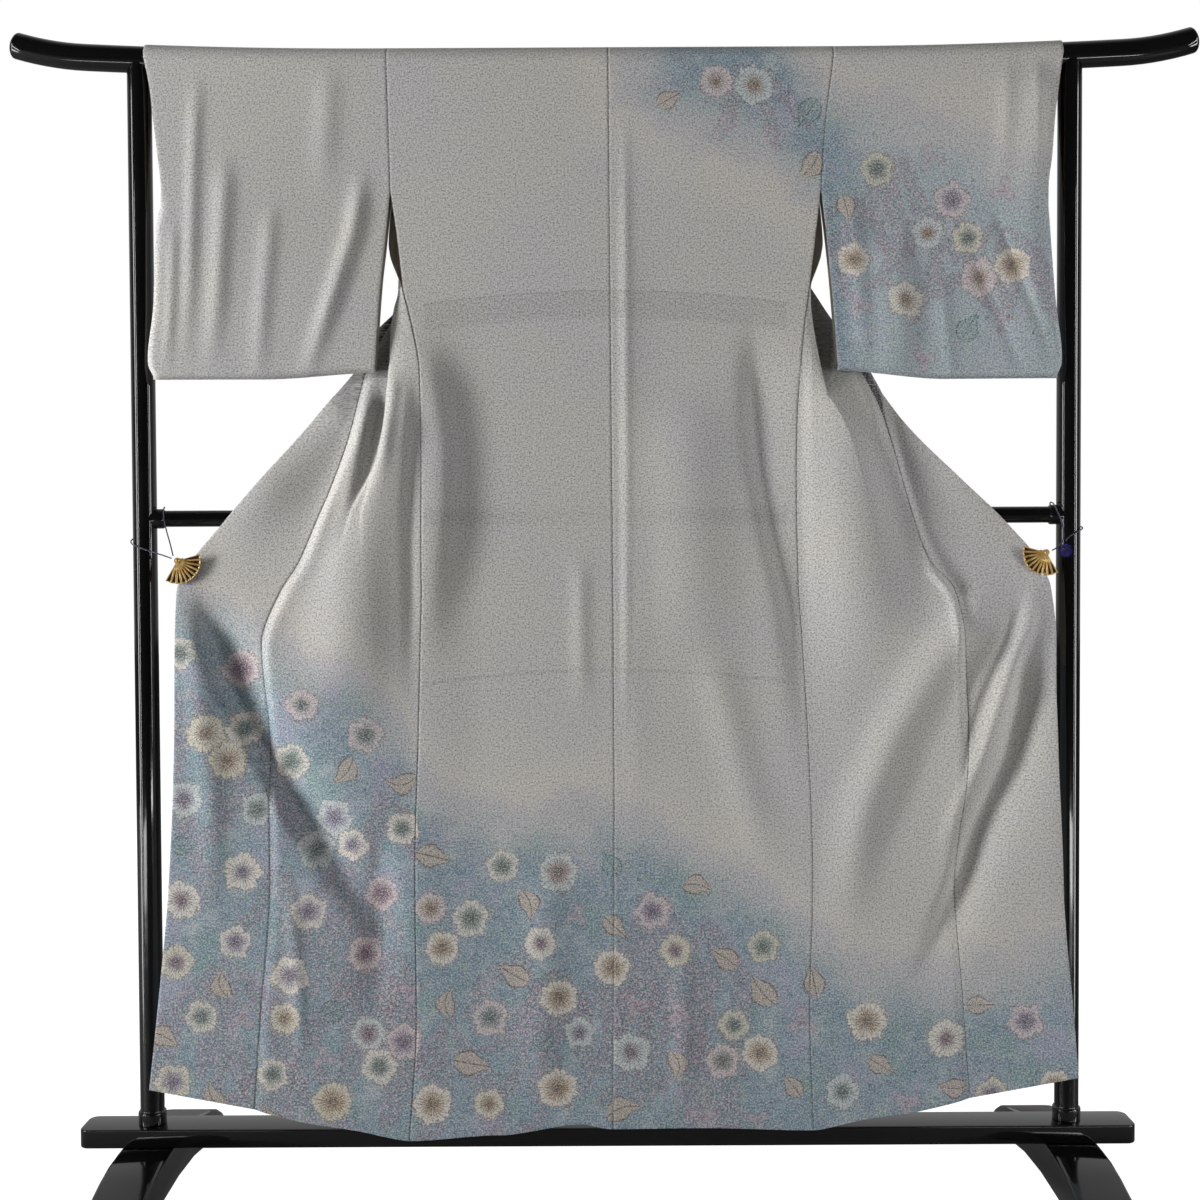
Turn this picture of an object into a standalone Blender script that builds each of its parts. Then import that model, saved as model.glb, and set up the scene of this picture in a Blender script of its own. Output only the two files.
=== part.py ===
"""A lined silk kimono hung on a lacquered stand, its back outwards and its fronts drawn out to the posts.

X runs along the top rod, -Y is the side that the back of the kimono faces, and Z is up from the floor.
Distances called "out" are measured from the middle of the garment towards either sleeve.
"""
from collections import namedtuple
from math import atan2, cos, hypot, pi, radians, sin

import bmesh
import bpy
from mathutils import Vector

# ---------------------------------------------------------------- driving dimensions, in metres
LEFT, RIGHT = -1, 1
WALL = 0.0016                  # outer silk and lining together
SEAM_GAP = 0.0003              # between two pieces that are sewn together
COLLAR_WALL = 0.003            # the collar is folded double round its core
COLLAR_CLEARANCE = 0.0013      # the band hangs this far behind the edge that it is sewn to

ROD_RADIUS = 0.019
ROD_HEIGHT = 1.692             # the rod's middle over the body of the garment
ROD_SIDES = 18
ROD_STATIONS = (0.0, 0.2, 0.38, 0.46, 0.54, 0.61, 0.67, 0.72, 0.76, 0.785, 0.81, 0.835, 0.850)
ROD_TIP_RINGS = ((0.859, 0.96), (0.8645, 0.86), (0.868, 0.66))    # station and share of the radius
ROD_BOW_FROM = 0.33            # the rod lifts gently from here outwards
ROD_BOW = 0.06
ROD_TIP_FROM = 0.76            # and curls up from here to its tips
ROD_TIP = 1.14
WRAP_RADIUS = 0.0208           # middle of the cloth's wall where it lies over the rod
WRAP_STEPS = 8

POST_OUT = 0.6825
POST_RADIUS = 0.0175
POST_COLLAR_RADIUS = 0.0205
POST_COLLAR_HEIGHT = 0.02
RAIL_RADIUS = 0.012
RAIL_HEIGHT = 1.027
RAIL_FLARE_RADIUS = 0.0145
RAIL_FLARE_LENGTH = 0.011
BOARD_ENDS = (-0.784, 0.7785)
BOARD_HALF_DEPTH = 0.031
BOARD_BOTTOM = 0.098
BOARD_TOP = 0.1255
FOOT_WIDTH = 0.078
SEATING = 0.006                # how far the post's saddled top reaches up round the rod
TENON = 0.010                  # how far the rail's end stops short of the post's middle
CORNER_RADIUS = 0.014          # of the board in plan
BOARD_ROUNDING = 0.002
FOOT_ROUNDING = 0.004

UPPER_ROWS = 23                # rows from the rod to the collar's end
LOWER_ROWS = 7                 # rows from there to the hem
CLIP_SHARE = 0.54              # share of the front edge that the collar takes
SEAM_LIFT = 0.62               # how far the overlap seam shares the lift of the front edge
BACK_COLUMNS = 10
FRONT_COLUMNS = 20
OVERLAP_COLUMNS = 8
OVERLAP_TOP_ROW = {LEFT: 12, RIGHT: 13}         # the overlap panel starts at this row, left and right
COLLAR_WIDTH = 0.055
NECK_HALF_WIDTH = 0.092

CORD_RADIUS = 0.001
CLIP_DEPTH = -0.0345           # the fan's plate, in front of the cloth


# ---------------------------------------------------------------- tables, one row for each height
Depth = namedtuple("Depth", "height back side near gap edge crest")
DEPTHS = (                     # Y of the back, of the side seam, of the fold nearest the eye, layer
    Depth(1.692, -0.0208, 0.0208, 0.0208, 0.0000, 0.0208, 0.000),   # spacing, the front edge, and the
    Depth(1.600, -0.0210, 0.0150, 0.0070, 0.0005, 0.0200, 0.000),   # roll along the overlap seam
    Depth(1.500, -0.0215, 0.0040, 0.0015, 0.0060, 0.0170, 0.000),
    Depth(1.420, -0.0220, -0.0080, -0.0020, 0.0075, 0.0130, 0.000),
    Depth(1.360, -0.0225, -0.0225, -0.0145, 0.0122, 0.0100, 0.000),
    Depth(1.300, -0.0230, -0.0250, -0.0225, 0.0137, 0.0050, 0.000),
    Depth(1.240, -0.0235, -0.0270, -0.0270, 0.0130, -0.0005, 0.007),
    Depth(1.150, -0.0245, -0.0285, -0.0305, 0.0110, -0.0090, 0.014),
    Depth(1.040, -0.0250, -0.0300, -0.0335, 0.0055, -0.0200, 0.014),
    Depth(0.950, -0.0265, -0.0310, -0.0350, 0.0015, -0.0280, 0.010),
    Depth(0.800, -0.0300, -0.0335, -0.0365, 0.0000, -0.0325, 0.005),
    Depth(0.500, -0.0360, -0.0390, -0.0410, 0.0000, -0.0385, 0.002),
    Depth(0.110, -0.0450, -0.0450, -0.0455, 0.0000, -0.0450, 0.001),
)

INNER_FOLD_CLEARANCE = 0.0015  # the hidden fold stays this far in front of the slanting edge
FOLD_START_DEPTH = 0.014       # where that fold starts at the edge, the cloth turns straight back by this
FOLD_START_FADE = 0.7          # and less by this share of the distance between fold and edge

Front = namedtuple("Front", "height side fold_out fold_in seam edge")
FRONT_ROWS = {                 # how far out the side seam, the two folds, the overlap seam and the edge lie
    LEFT: (
        Front(1.692, 0.3175, 0.262, 0.175, 0.092, 0.092),
        Front(1.600, 0.3155, 0.270, 0.150, 0.147, 0.147),
        Front(1.500, 0.3130, 0.288, 0.165, 0.203, 0.203),
        Front(1.420, 0.3040, 0.303, 0.175, 0.250, 0.250),
        Front(1.360, 0.2955, 0.304, 0.190, 0.286, 0.286),
        Front(1.330, 0.2880, 0.312, 0.202, 0.306, 0.306),
        Front(1.300, 0.2810, 0.317, 0.218, 0.326, 0.326),
        Front(1.240, 0.2710, 0.3195, 0.252, 0.354, 0.371),
        Front(1.160, 0.2690, 0.325, 0.300, 0.371, 0.436),
        Front(1.080, 0.2690, 0.341, 0.348, 0.399, 0.508),
        Front(1.020, 0.2695, 0.355, 0.376, 0.425, 0.561),
        Front(0.960, 0.2700, 0.350, 0.390, 0.451, 0.610),
        Front(0.920, 0.2700, 0.345, 0.400, 0.477, 0.629),
        Front(0.840, 0.2730, 0.342, 0.410, 0.506, 0.632),
        Front(0.700, 0.2770, 0.345, 0.420, 0.497, 0.634),
        Front(0.500, 0.2830, 0.350, 0.425, 0.495, 0.643),
        Front(0.300, 0.2820, 0.355, 0.430, 0.510, 0.662),
        Front(0.110, 0.2935, 0.370, 0.445, 0.524, 0.684),
    ),
    RIGHT: (
        Front(1.692, 0.3325, 0.275, 0.180, 0.092, 0.092),
        Front(1.600, 0.3210, 0.280, 0.158, 0.150, 0.150),
        Front(1.500, 0.3143, 0.295, 0.172, 0.213, 0.213),
        Front(1.420, 0.3060, 0.304, 0.182, 0.264, 0.264),
        Front(1.360, 0.2975, 0.300, 0.196, 0.306, 0.306),
        Front(1.330, 0.2930, 0.301, 0.208, 0.325, 0.325),
        Front(1.300, 0.2890, 0.305, 0.224, 0.345, 0.345),
        Front(1.240, 0.2840, 0.315, 0.260, 0.374, 0.379),
        Front(1.160, 0.2790, 0.328, 0.308, 0.408, 0.437),
        Front(1.080, 0.2780, 0.335, 0.356, 0.431, 0.516),
        Front(1.020, 0.2785, 0.335, 0.390, 0.448, 0.580),
        Front(0.960, 0.2800, 0.337, 0.400, 0.470, 0.630),
        Front(0.920, 0.2810, 0.340, 0.410, 0.505, 0.646),
        Front(0.840, 0.2860, 0.345, 0.420, 0.517, 0.651),
        Front(0.700, 0.2930, 0.350, 0.430, 0.525, 0.652),
        Front(0.500, 0.2990, 0.355, 0.430, 0.507, 0.661),
        Front(0.300, 0.2940, 0.360, 0.440, 0.519, 0.680),
        Front(0.110, 0.2995, 0.370, 0.450, 0.532, 0.694),
    ),
}

Centre = namedtuple("Centre", "height x")
CENTRE_ROWS = (                # the centre back seam
    Centre(1.692, 0.0050), Centre(1.355, 0.0065), Centre(0.641, 0.0090), Centre(0.110, 0.0050),
)

Armhole = namedtuple("Armhole", "height left right far")
ARMHOLE_ROWS = (               # how far out the sleeve's seam lies, and Y of it on the far side
    Armhole(1.692, 0.3175, 0.3325, 0.0208),
    Armhole(1.600, 0.3155, 0.3210, 0.0150),
    Armhole(1.550, 0.3140, 0.3172, 0.0098),
    Armhole(1.502, 0.3130, 0.3143, 0.0040),
)
ARMHOLE_END = 1.502            # back, front and sleeve are free of one another from here

Slit = namedtuple("Slit", "height left right far")
BACK_SLIT_ROWS = (             # the back's free edge from the armhole to the side seam
    Slit(1.502, 0.3130, 0.3143, -0.0215), Slit(1.430, 0.3032, 0.3060, -0.0220),
    Slit(1.360, 0.2955, 0.2975, -0.0225),
)
FRONT_SLIT_ROWS = (            # the front's free edge beside it
    Slit(1.502, 0.3130, 0.3143, 0.0040), Slit(1.430, 0.3180, 0.3190, -0.0065),
    Slit(1.360, 0.2955, 0.2975, -0.0225),
)
SLEEVE_SLIT_ROWS = (           # the sleeve's free edge, with Y of its far layer
    Slit(1.502, 0.3130, 0.3143, 0.0040), Slit(1.420, 0.3215, 0.3235, -0.0015),
    Slit(1.370, 0.3270, 0.3280, -0.0050), Slit(1.235, 0.3370, 0.3380, -0.0090),
)
SLEEVE_SWELL = 0.008           # the near layer stands this much proud of the back at the sleeve's bottom
SIDE_SEAM_TOP = 1.36
SEAM_EASE_FROM = 1.20          # from here up to the slit the side seam's gap opens by half a wall,
SEAM_EASE_SPAN = 0.10          # because the front turns straight back there

Hem = namedtuple("Hem", "x height")
HEM = (
    Hem(-0.690, 0.190), Hem(-0.600, 0.174), Hem(-0.522, 0.160), Hem(-0.454, 0.142), Hem(-0.381, 0.121),
    Hem(-0.293, 0.113), Hem(-0.161, 0.121), Hem(-0.043, 0.136), Hem(0.005, 0.129), Hem(0.132, 0.130),
    Hem(0.299, 0.126), Hem(0.377, 0.133), Hem(0.453, 0.152), Hem(0.532, 0.177), Hem(0.603, 0.192),
    Hem(0.700, 0.201),
)

Cuff = namedtuple("Cuff", "height left right near far")
CUFF_ROWS = (                  # how far out the cuff edge lies, and Y of the sleeve's two layers there
    Cuff(1.699, 0.672, 0.668, -0.0208, 0.0208),
    Cuff(1.645, 0.661, 0.660, -0.0220, 0.0190),
    Cuff(1.598, 0.656, 0.654, -0.0235, 0.0100),
    Cuff(1.550, 0.650, 0.650, -0.0250, -0.0040),
    Cuff(1.501, 0.645, 0.644, -0.0270, -0.0160),
    Cuff(1.445, 0.654, 0.647, -0.0290, -0.0200),
    Cuff(1.344, 0.658, 0.655, -0.0320, -0.0205),
    Cuff(1.265, 0.667, 0.664, -0.0335, -0.0205),
    Cuff(1.235, 0.660, 0.658, -0.0335, -0.0210),
)
CUFF_OPENING_END = 1.502       # the cuff is sewn shut below this
CUFF_END_DEPTHS = (-0.0275, -0.0215)      # Y of the two layers where they are sewn shut

SLEEVE_STATIONS = (0.0, 0.10, 0.26, 0.44, 0.62, 0.78, 0.92, 1.0)
SLEEVE_BOTTOM = {LEFT: (1.238, 1.229), RIGHT: (1.238, 1.225)}     # beside the body, and under the cuff
SLEEVE_TURN = 0.007            # height of the turn at the sleeve's bottom seam

Fold = namedtuple("Fold", "lift width path")
FRONT_FOLDS = {                # soft folds that hang from the clips: lift towards the eye, half width, route
    LEFT: (
        Fold(-0.010, 0.013,
             ((0.600, 0.925), (0.561, 0.834), (0.527, 0.745), (0.483, 0.624), (0.400, 0.474))),
        Fold(0.006, 0.022, ((0.560, 0.915), (0.524, 0.800), (0.470, 0.680), (0.425, 0.560))),
        Fold(0.006, 0.020, ((0.612, 0.880), (0.590, 0.720), (0.570, 0.560), (0.575, 0.380))),
        Fold(-0.005, 0.024, ((0.335, 0.620), (0.335, 0.420), (0.345, 0.240))),
    ),
    RIGHT: (
        Fold(-0.009, 0.014, ((0.617, 0.940), (0.556, 0.862), (0.504, 0.788), (0.467, 0.743))),
        Fold(0.010, 0.012, ((0.628, 0.920), (0.594, 0.848), (0.549, 0.759), (0.520, 0.670), (0.425, 0.463))),
        Fold(-0.009, 0.013,
             ((0.640, 0.915), (0.604, 0.818), (0.571, 0.729), (0.549, 0.640), (0.512, 0.566))),
        Fold(-0.006, 0.022, ((0.405, 1.150), (0.412, 1.020), (0.425, 0.880), (0.440, 0.760))),
    ),
}
BACK_FOLDS = (                 # the same for the back, with X in place of the distance out
    Fold(-0.006, 0.020, ((-0.238, 1.280), (-0.236, 0.980), (-0.243, 0.520))),
    Fold(0.004, 0.022, ((-0.205, 1.200), (-0.200, 0.900), (-0.205, 0.600))),
    Fold(-0.006, 0.022, ((0.205, 1.220), (0.225, 1.000), (0.255, 0.760), (0.272, 0.580))),
    Fold(0.005, 0.024, ((0.030, 1.620), (0.034, 1.300), (0.040, 0.900), (0.035, 0.400))),
    Fold(0.005, 0.030, ((-0.090, 0.560), (-0.095, 0.300), (-0.100, 0.115))),
)

CLIP_HUBS = {LEFT: (0.626, 0.965), RIGHT: (0.640, 0.971)}         # how far out, and height
FAN_ANGLES = (18.0, -125.0)    # first and last rib of the left fan, from +X towards +Z
FAN_INNER = 0.004
FAN_OUTER = 0.0325
FAN_PLEATS = 9
FAN_PLEAT_DEPTH = 0.0007
FAN_WALL = 0.0014
CLIP_HUB_RADIUS = 0.0078
CLIP_HUB_PROUD = 0.0022        # the hub stands this much in front of the fan's plate
CLIP_JAW_GAP = 0.0004          # between the collar and the jaw behind it
CLIP_JAW_WALL = 0.0018
CLIP_JAW_LEAN = 40.0           # degrees below the line that points at the cloth
CLIP_JAW_LENGTH = 0.034
CLIP_JAW_WIDTH = 0.011

CORD_ROUTES = {                # out, Y and height along each tie, from the clip round the post and back
    LEFT: (
        (0.6348, -0.0345, 0.9685), (0.6430, -0.0305, 0.9712), (0.6540, -0.0262, 0.9745),
        (0.6690, -0.0226, 0.9790), (0.6825, -0.0200, 0.9835), (0.6945, -0.0160, 0.9880),
        (0.7010, -0.0085, 0.9920), (0.7028, 0.0000, 0.9955), (0.7005, 0.0095, 0.9995),
        (0.6935, 0.0168, 1.0040), (0.6825, 0.0202, 1.0095), (0.6715, 0.0195, 1.0190),
        (0.6640, 0.0175, 1.0310), (0.6585, 0.0125, 1.0405), (0.6545, 0.0040, 1.0440),
        (0.6525, -0.0060, 1.0425), (0.6510, -0.0135, 1.0365), (0.6495, -0.0170, 1.0250),
        (0.6450, -0.0205, 1.0080), (0.6385, -0.0265, 0.9900), (0.6328, -0.0325, 0.9722),
    ),
    RIGHT: (
        (0.6490, -0.0345, 0.9740), (0.6555, -0.0305, 0.9770), (0.6612, -0.0268, 0.9800),
        (0.6680, -0.0240, 0.9905), (0.6690, -0.0215, 1.0030), (0.6660, -0.0200, 1.0180),
        (0.6600, -0.0190, 1.0330), (0.6570, -0.0125, 1.0425), (0.6560, -0.0020, 1.0450),
        (0.6585, 0.0100, 1.0420), (0.6640, 0.0175, 1.0340), (0.6720, 0.0200, 1.0230),
        (0.6825, 0.0204, 1.0150), (0.6940, 0.0165, 1.0110), (0.7010, 0.0085, 1.0095),
        (0.7028, 0.0000, 1.0080), (0.7005, -0.0095, 1.0060), (0.6940, -0.0165, 1.0025),
        (0.6840, -0.0205, 0.9975), (0.6760, -0.0225, 0.9925), (0.6715, -0.0240, 0.9880),
    ),
}
CORD_STEPS = 1                 # points read from the smooth route for each of its own
TASSEL_TOP = (0.6665, -0.0305, 0.9840)
TASSEL_RADIUS = 0.0042
TASSEL_LENGTH = 0.020
TASSEL_SPREAD = 2.1
TASSEL_LEAN = (0.35, 0.0, -1.0)

FOOT_PROFILE = (               # Y and height of one half of the foot's outline, from its top middle
    (0.000, 0.0977), (0.048, 0.0977), (0.090, 0.0960), (0.130, 0.0895), (0.172, 0.0790), (0.205, 0.0720),
    (0.240, 0.0600), (0.270, 0.0440), (0.292, 0.0260), (0.299, 0.0120), (0.296, 0.0000), (0.236, 0.0000),
    (0.222, 0.0100), (0.160, 0.0280), (0.090, 0.0390), (0.000, 0.0430),
)

FINISHES = {                   # base colour, roughness, metallic
    "silk": ((0.52, 0.50, 0.52), 0.7, 0.0),
    "lacquer": ((0.006, 0.006, 0.007), 0.08, 0.0),
    "gold": ((0.78, 0.52, 0.18), 0.3, 1.0),
    "cord": ((0.09, 0.05, 0.20), 0.8, 0.0),
}


# ---------------------------------------------------------------- small helpers
def clear_scene():
    for old in list(bpy.data.objects):
        bpy.data.objects.remove(old, do_unlink=True)


def finish_of(slot):
    """The material for one finish, made once."""
    material = bpy.data.materials.get(slot)
    if material is None:
        colour, roughness, metallic = FINISHES[slot]
        material = bpy.data.materials.new(slot)
        material.use_nodes = True
        shader = material.node_tree.nodes["Principled BSDF"]
        shader.inputs["Base Color"].default_value = (*colour, 1.0)
        shader.inputs["Roughness"].default_value = roughness
        shader.inputs["Metallic"].default_value = metallic
    return material


def add_object(name, data, slot):
    piece = bpy.data.objects.new(name, data)
    bpy.context.scene.collection.objects.link(piece)
    data.materials.append(finish_of(slot))
    return piece


def mesh_from(bm, name):
    mesh = bpy.data.meshes.new(name)
    bm.to_mesh(mesh)
    bm.free()
    return mesh


def shade(piece, degrees=35.0):
    piece.data.shade_smooth()
    piece.data.set_sharp_from_angle(angle=radians(degrees))


def mix(a, b, share):
    return a + (b - a) * share


def ease(share):
    share = min(1.0, max(0.0, share))
    return share * share * (3.0 - 2.0 * share)


def column(rows, name, height):
    """One named column of a table at any height, on a smooth curve through its rows."""
    rows = sorted(rows, key=lambda row: row.height)
    heights = [row.height for row in rows]
    values = [getattr(row, name) for row in rows]
    height = min(heights[-1], max(heights[0], height))
    index = 0
    while index < len(rows) - 2 and height > heights[index + 1]:
        index += 1

    def slope(at):
        if at in (0, len(rows) - 1):
            return (values[index + 1] - values[index]) / (heights[index + 1] - heights[index])
        before = (values[at] - values[at - 1]) / (heights[at] - heights[at - 1])
        after = (values[at + 1] - values[at]) / (heights[at + 1] - heights[at])
        if before * after <= 0.0:
            return 0.0
        return 2.0 * before * after / (before + after)

    span = heights[index + 1] - heights[index]
    t = (height - heights[index]) / span
    rise = values[index + 1] - values[index]
    start, end = slope(index) * span, slope(index + 1) * span
    return values[index] + t * (start + t * (3 * rise - 2 * start - end + t * (start + end - 2 * rise)))


def hem_height(x):
    index = 0
    while index < len(HEM) - 2 and x > HEM[index + 1].x:
        index += 1
    first, second = HEM[index], HEM[index + 1]
    return mix(first.height, second.height, ease((x - first.x) / (second.x - first.x)))


def fold_lift(folds, out, height):
    """How far the folds push a point of the cloth towards the eye."""
    lift = 0.0
    for fold in folds:
        lengths = [hypot(b[0] - a[0], b[1] - a[1]) for a, b in zip(fold.path, fold.path[1:])]
        best, along = 1.0, 0.0
        done = 0.0
        for (a, b), length in zip(zip(fold.path, fold.path[1:]), lengths):
            share = ((out - a[0]) * (b[0] - a[0]) + (height - a[1]) * (b[1] - a[1])) / length ** 2
            share = min(1.0, max(0.0, share))
            away = hypot(out - mix(a[0], b[0], share), height - mix(a[1], b[1], share))
            if away < best:
                best, along = away, done + share * length
            done += length
        fade = ease(4.0 * along / done - 0.5) * ease(2.5 * (1.0 - along / done))
        lift += fold.lift * fade * 2.718 ** (-((best / fold.width) ** 2))
    return lift


def spline_point(controls, share):
    """A point of the clamped cubic B-spline of a row's control points."""
    degree = 3
    spans = len(controls) - degree
    knots = [0.0] * degree + [float(k) for k in range(spans + 1)] + [float(spans)] * degree
    at = min(share * spans, spans - 1e-9)
    span = int(at) + degree
    points = [controls[span - degree + k].copy() for k in range(degree + 1)]
    for level in range(1, degree + 1):
        for k in range(degree, level - 1, -1):
            low = knots[span - degree + k]
            high = knots[span + 1 + k - level]
            points[k] = points[k - 1].lerp(points[k], (at - low) / (high - low))
    return points[degree]


def thickened(name, bm, slot, wall):
    """A wall of even thickness about a middle surface."""
    piece = add_object(name, mesh_from(bm, name), slot)
    thicken = piece.modifiers.new("wall", "SOLIDIFY")
    thicken.thickness = wall
    thicken.offset = 0.0
    piece.data.shade_smooth()
    return piece


def sheet(name, columns, rows, place, slot="silk", wall=WALL):
    """A wall of cloth: a grid laid out by place(column, row) and thickened about its middle."""
    bm = bmesh.new()
    bmesh.ops.create_grid(bm, x_segments=columns, y_segments=rows, size=0.5)
    for vertex in bm.verts:
        i = round((vertex.co.x + 0.5) * columns)
        j = round((vertex.co.y + 0.5) * rows)
        vertex.co = place(i, j)
    bmesh.ops.recalc_face_normals(bm, faces=bm.faces)
    return thickened(name, bm, slot, wall)


# ---------------------------------------------------------------- where the cloth lies
def rod_height(x):
    """The rod's middle: level over the body, lifting to its ends and curled up at the tips."""
    bow = ROD_BOW * max(0.0, abs(x) - ROD_BOW_FROM) ** 2
    return ROD_HEIGHT + bow + ROD_TIP * max(0.0, abs(x) - ROD_TIP_FROM) ** 2


def side_hem(side):
    return hem_height(side * FRONT_ROWS[side][-1].side)


def row_share(row):
    """Share of the cloth's length from the rod to the hem at one of its rows."""
    if row <= UPPER_ROWS:
        return CLIP_SHARE * row / UPPER_ROWS
    return mix(CLIP_SHARE, 1.0, (row - UPPER_ROWS) / LOWER_ROWS)


def side_height(side, row):
    return mix(ROD_HEIGHT, side_hem(side), row_share(row))


def edge_height(side, row):
    """Height of the front edge: down the slanting collar to the clip, then straight to the hem."""
    share = row_share(row)
    clip_height = CLIP_HUBS[side][1] - 0.012
    if share <= CLIP_SHARE:
        return mix(ROD_HEIGHT, clip_height, share / CLIP_SHARE)
    below = (share - CLIP_SHARE) / (1 - CLIP_SHARE)
    return mix(clip_height, hem_height(side * FRONT_ROWS[side][-1].edge), below)


def free_side(side, slit_rows, height):
    """How far out a panel's side lies: the sleeve's seam, then its own free edge, then the side seam."""
    which = "left" if side == LEFT else "right"
    if height > ARMHOLE_END:
        return column(ARMHOLE_ROWS, which, height)
    if height > SIDE_SEAM_TOP or slit_rows is SLEEVE_SLIT_ROWS:
        return column(slit_rows, which, height)
    return column(FRONT_ROWS[side], "side", height)


def free_side_depth(slit_rows, height):
    """Y of the same edge, on the far side of the garment."""
    if height > ARMHOLE_END:
        return column(ARMHOLE_ROWS, "far", height)
    if height > SIDE_SEAM_TOP or slit_rows is SLEEVE_SLIT_ROWS:
        return column(slit_rows, "far", height)
    return column(DEPTHS, "side", height)


def back_point(side, i, j):
    """Back panel: column i from the centre seam to the side, row j from the hem over the rod."""
    share = i / BACK_COLUMNS
    all_rows = UPPER_ROWS + LOWER_ROWS
    if j > all_rows:
        angle = pi * (j - all_rows) / WRAP_STEPS
        height, level = ROD_HEIGHT, ROD_HEIGHT + WRAP_RADIUS * sin(angle)
        depth = -WRAP_RADIUS * cos(angle)
    else:
        row = all_rows - j
        height = side_height(side, row)
        level = None
    centre = column(CENTRE_ROWS, "x", height) + side * SEAM_GAP / 2
    x = mix(centre, side * (free_side(side, BACK_SLIT_ROWS, height) - SEAM_GAP / 2), share)
    if level is None:
        height = mix(ROD_HEIGHT, hem_height(x), row_share(row)) if share < 1.0 else height
        level = height
        middle = column(DEPTHS, "back", height)
        beside = column(DEPTHS, "side", height) if height < SIDE_SEAM_TOP else middle
        depth = mix(middle, beside, ease(share * 3.0 - 2.0))
        calm = ease(3.0 * (1.0 - share)) if share < 1.0 else 0.0
        depth -= fold_lift(BACK_FOLDS, x, height) * calm * ease(8.0 * share)
    return Vector((x, depth, level))


def front_controls(side, row):
    """Control points of one row of the front, from the side seam to the overlap seam."""
    rows = FRONT_ROWS[side]
    low, high = side_height(side, row), edge_height(side, row)

    def at(name, lift):
        height = mix(low, high, lift)
        return column(rows, name, height), height

    side_z = low
    out_out, out_z = at("fold_out", 0.2)
    in_out, in_z = at("fold_in", 0.35)
    seam_out, seam_z = at("seam", SEAM_LIFT)
    edge_out, edge_z = at("edge", 1.0)
    if row < OVERLAP_TOP_ROW[side]:
        seam_out, seam_z = edge_out, edge_z
    side_out = free_side(side, FRONT_SLIT_ROWS, side_z) - SEAM_GAP
    if side_z < SIDE_SEAM_TOP + SEAM_EASE_SPAN / 2:
        side_out += 1.5 * SEAM_GAP + WALL / 2 * ease((side_z - SEAM_EASE_FROM) / SEAM_EASE_SPAN)
    near, gap = column(DEPTHS, "near", out_z), column(DEPTHS, "gap", out_z)
    in_near, in_gap = column(DEPTHS, "near", in_z), column(DEPTHS, "gap", in_z)
    far = column(DEPTHS, "edge", seam_z)
    crest = column(DEPTHS, "crest", seam_z) if row >= OVERLAP_TOP_ROW[side] else 0.0
    towards = in_out - seam_out
    reach = min(abs(towards), 0.05) * (1 if towards > 0 else -1)
    first = out_out - side_out
    step = min(abs(first), 0.02) * (1 if first > 0 else -1)
    side_y = free_side_depth(FRONT_SLIT_ROWS, side_z)
    turn_back = 0.5 if side_z > SIDE_SEAM_TOP else 0.0
    leg = max(0.0, FOLD_START_DEPTH - FOLD_START_FADE * abs(in_out - seam_out))
    in_far = min(in_near + 2 * in_gap, column(DEPTHS, "edge", in_z) - INNER_FOLD_CLEARANCE, far - leg)
    points = (
        (side_out, side_y, side_z),
        (side_out + 0.5 * step, side_y + turn_back * (near - side_y), side_z),
        (out_out, near, out_z),
        (out_out, near + gap, out_z),
        (in_out, min(in_near + in_gap, (in_near + in_far) / 2), in_z),
        (in_out, in_far, in_z),
        (seam_out + 0.50 * reach, far - 0.8 * crest - 0.5 * leg, mix(in_z, seam_z, 0.6)),
        (seam_out + 0.20 * reach, far - 1.4 * crest - 0.2 * leg, mix(in_z, seam_z, 0.85)),
        (seam_out + 0.07 * reach, far, mix(in_z, seam_z, 0.95)),
        (seam_out, far, seam_z),
    )
    return [Vector((side * out, y, z)) for out, y, z in points]


def front_point(side, i, j):
    """Front panel: column i from the side seam to the overlap seam, row j from the rod to the hem."""
    controls = front_controls(side, j)
    point = spline_point(controls, i / FRONT_COLUMNS)
    if j == 0:
        point = Vector((point.x, WRAP_RADIUS, ROD_HEIGHT - 2 * SEAM_GAP))
    calm = ease(6.0 * i / FRONT_COLUMNS)
    point.y -= fold_lift(FRONT_FOLDS[side], abs(point.x), point.z) * calm
    return point


def overlap_point(side, i, j):
    """Overlap panel: column i from its seam to its free edge, row j from its tip to the hem."""
    row = j + OVERLAP_TOP_ROW[side]
    seam = front_controls(side, row)[-1]
    edge_z = edge_height(side, row)
    edge_out = column(FRONT_ROWS[side], "edge", edge_z)
    share = i / OVERLAP_COLUMNS
    start = seam.x * side + SEAM_GAP + WALL / 2 * ease(column(DEPTHS, "crest", seam.z) / 0.004)
    out = mix(start, max(edge_out, start + 0.004), share)
    height = mix(seam.z, edge_z, share)
    depth = column(DEPTHS, "edge", height)
    depth -= fold_lift(FRONT_FOLDS[side], out, height)
    return Vector((side * out, depth, height))


# ---------------------------------------------------------------- the garment's pieces
def make_back(side, name):
    rows = UPPER_ROWS + LOWER_ROWS + WRAP_STEPS
    return sheet(name, BACK_COLUMNS, rows, lambda i, j: back_point(side, i, j))


def make_front(side, name):
    return sheet(name, FRONT_COLUMNS, UPPER_ROWS + LOWER_ROWS, lambda i, j: front_point(side, i, j))


def make_overlap(side, name):
    rows = UPPER_ROWS + LOWER_ROWS - OVERLAP_TOP_ROW[side]
    return sheet(name, OVERLAP_COLUMNS, rows, lambda i, j: overlap_point(side, i, j))


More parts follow.
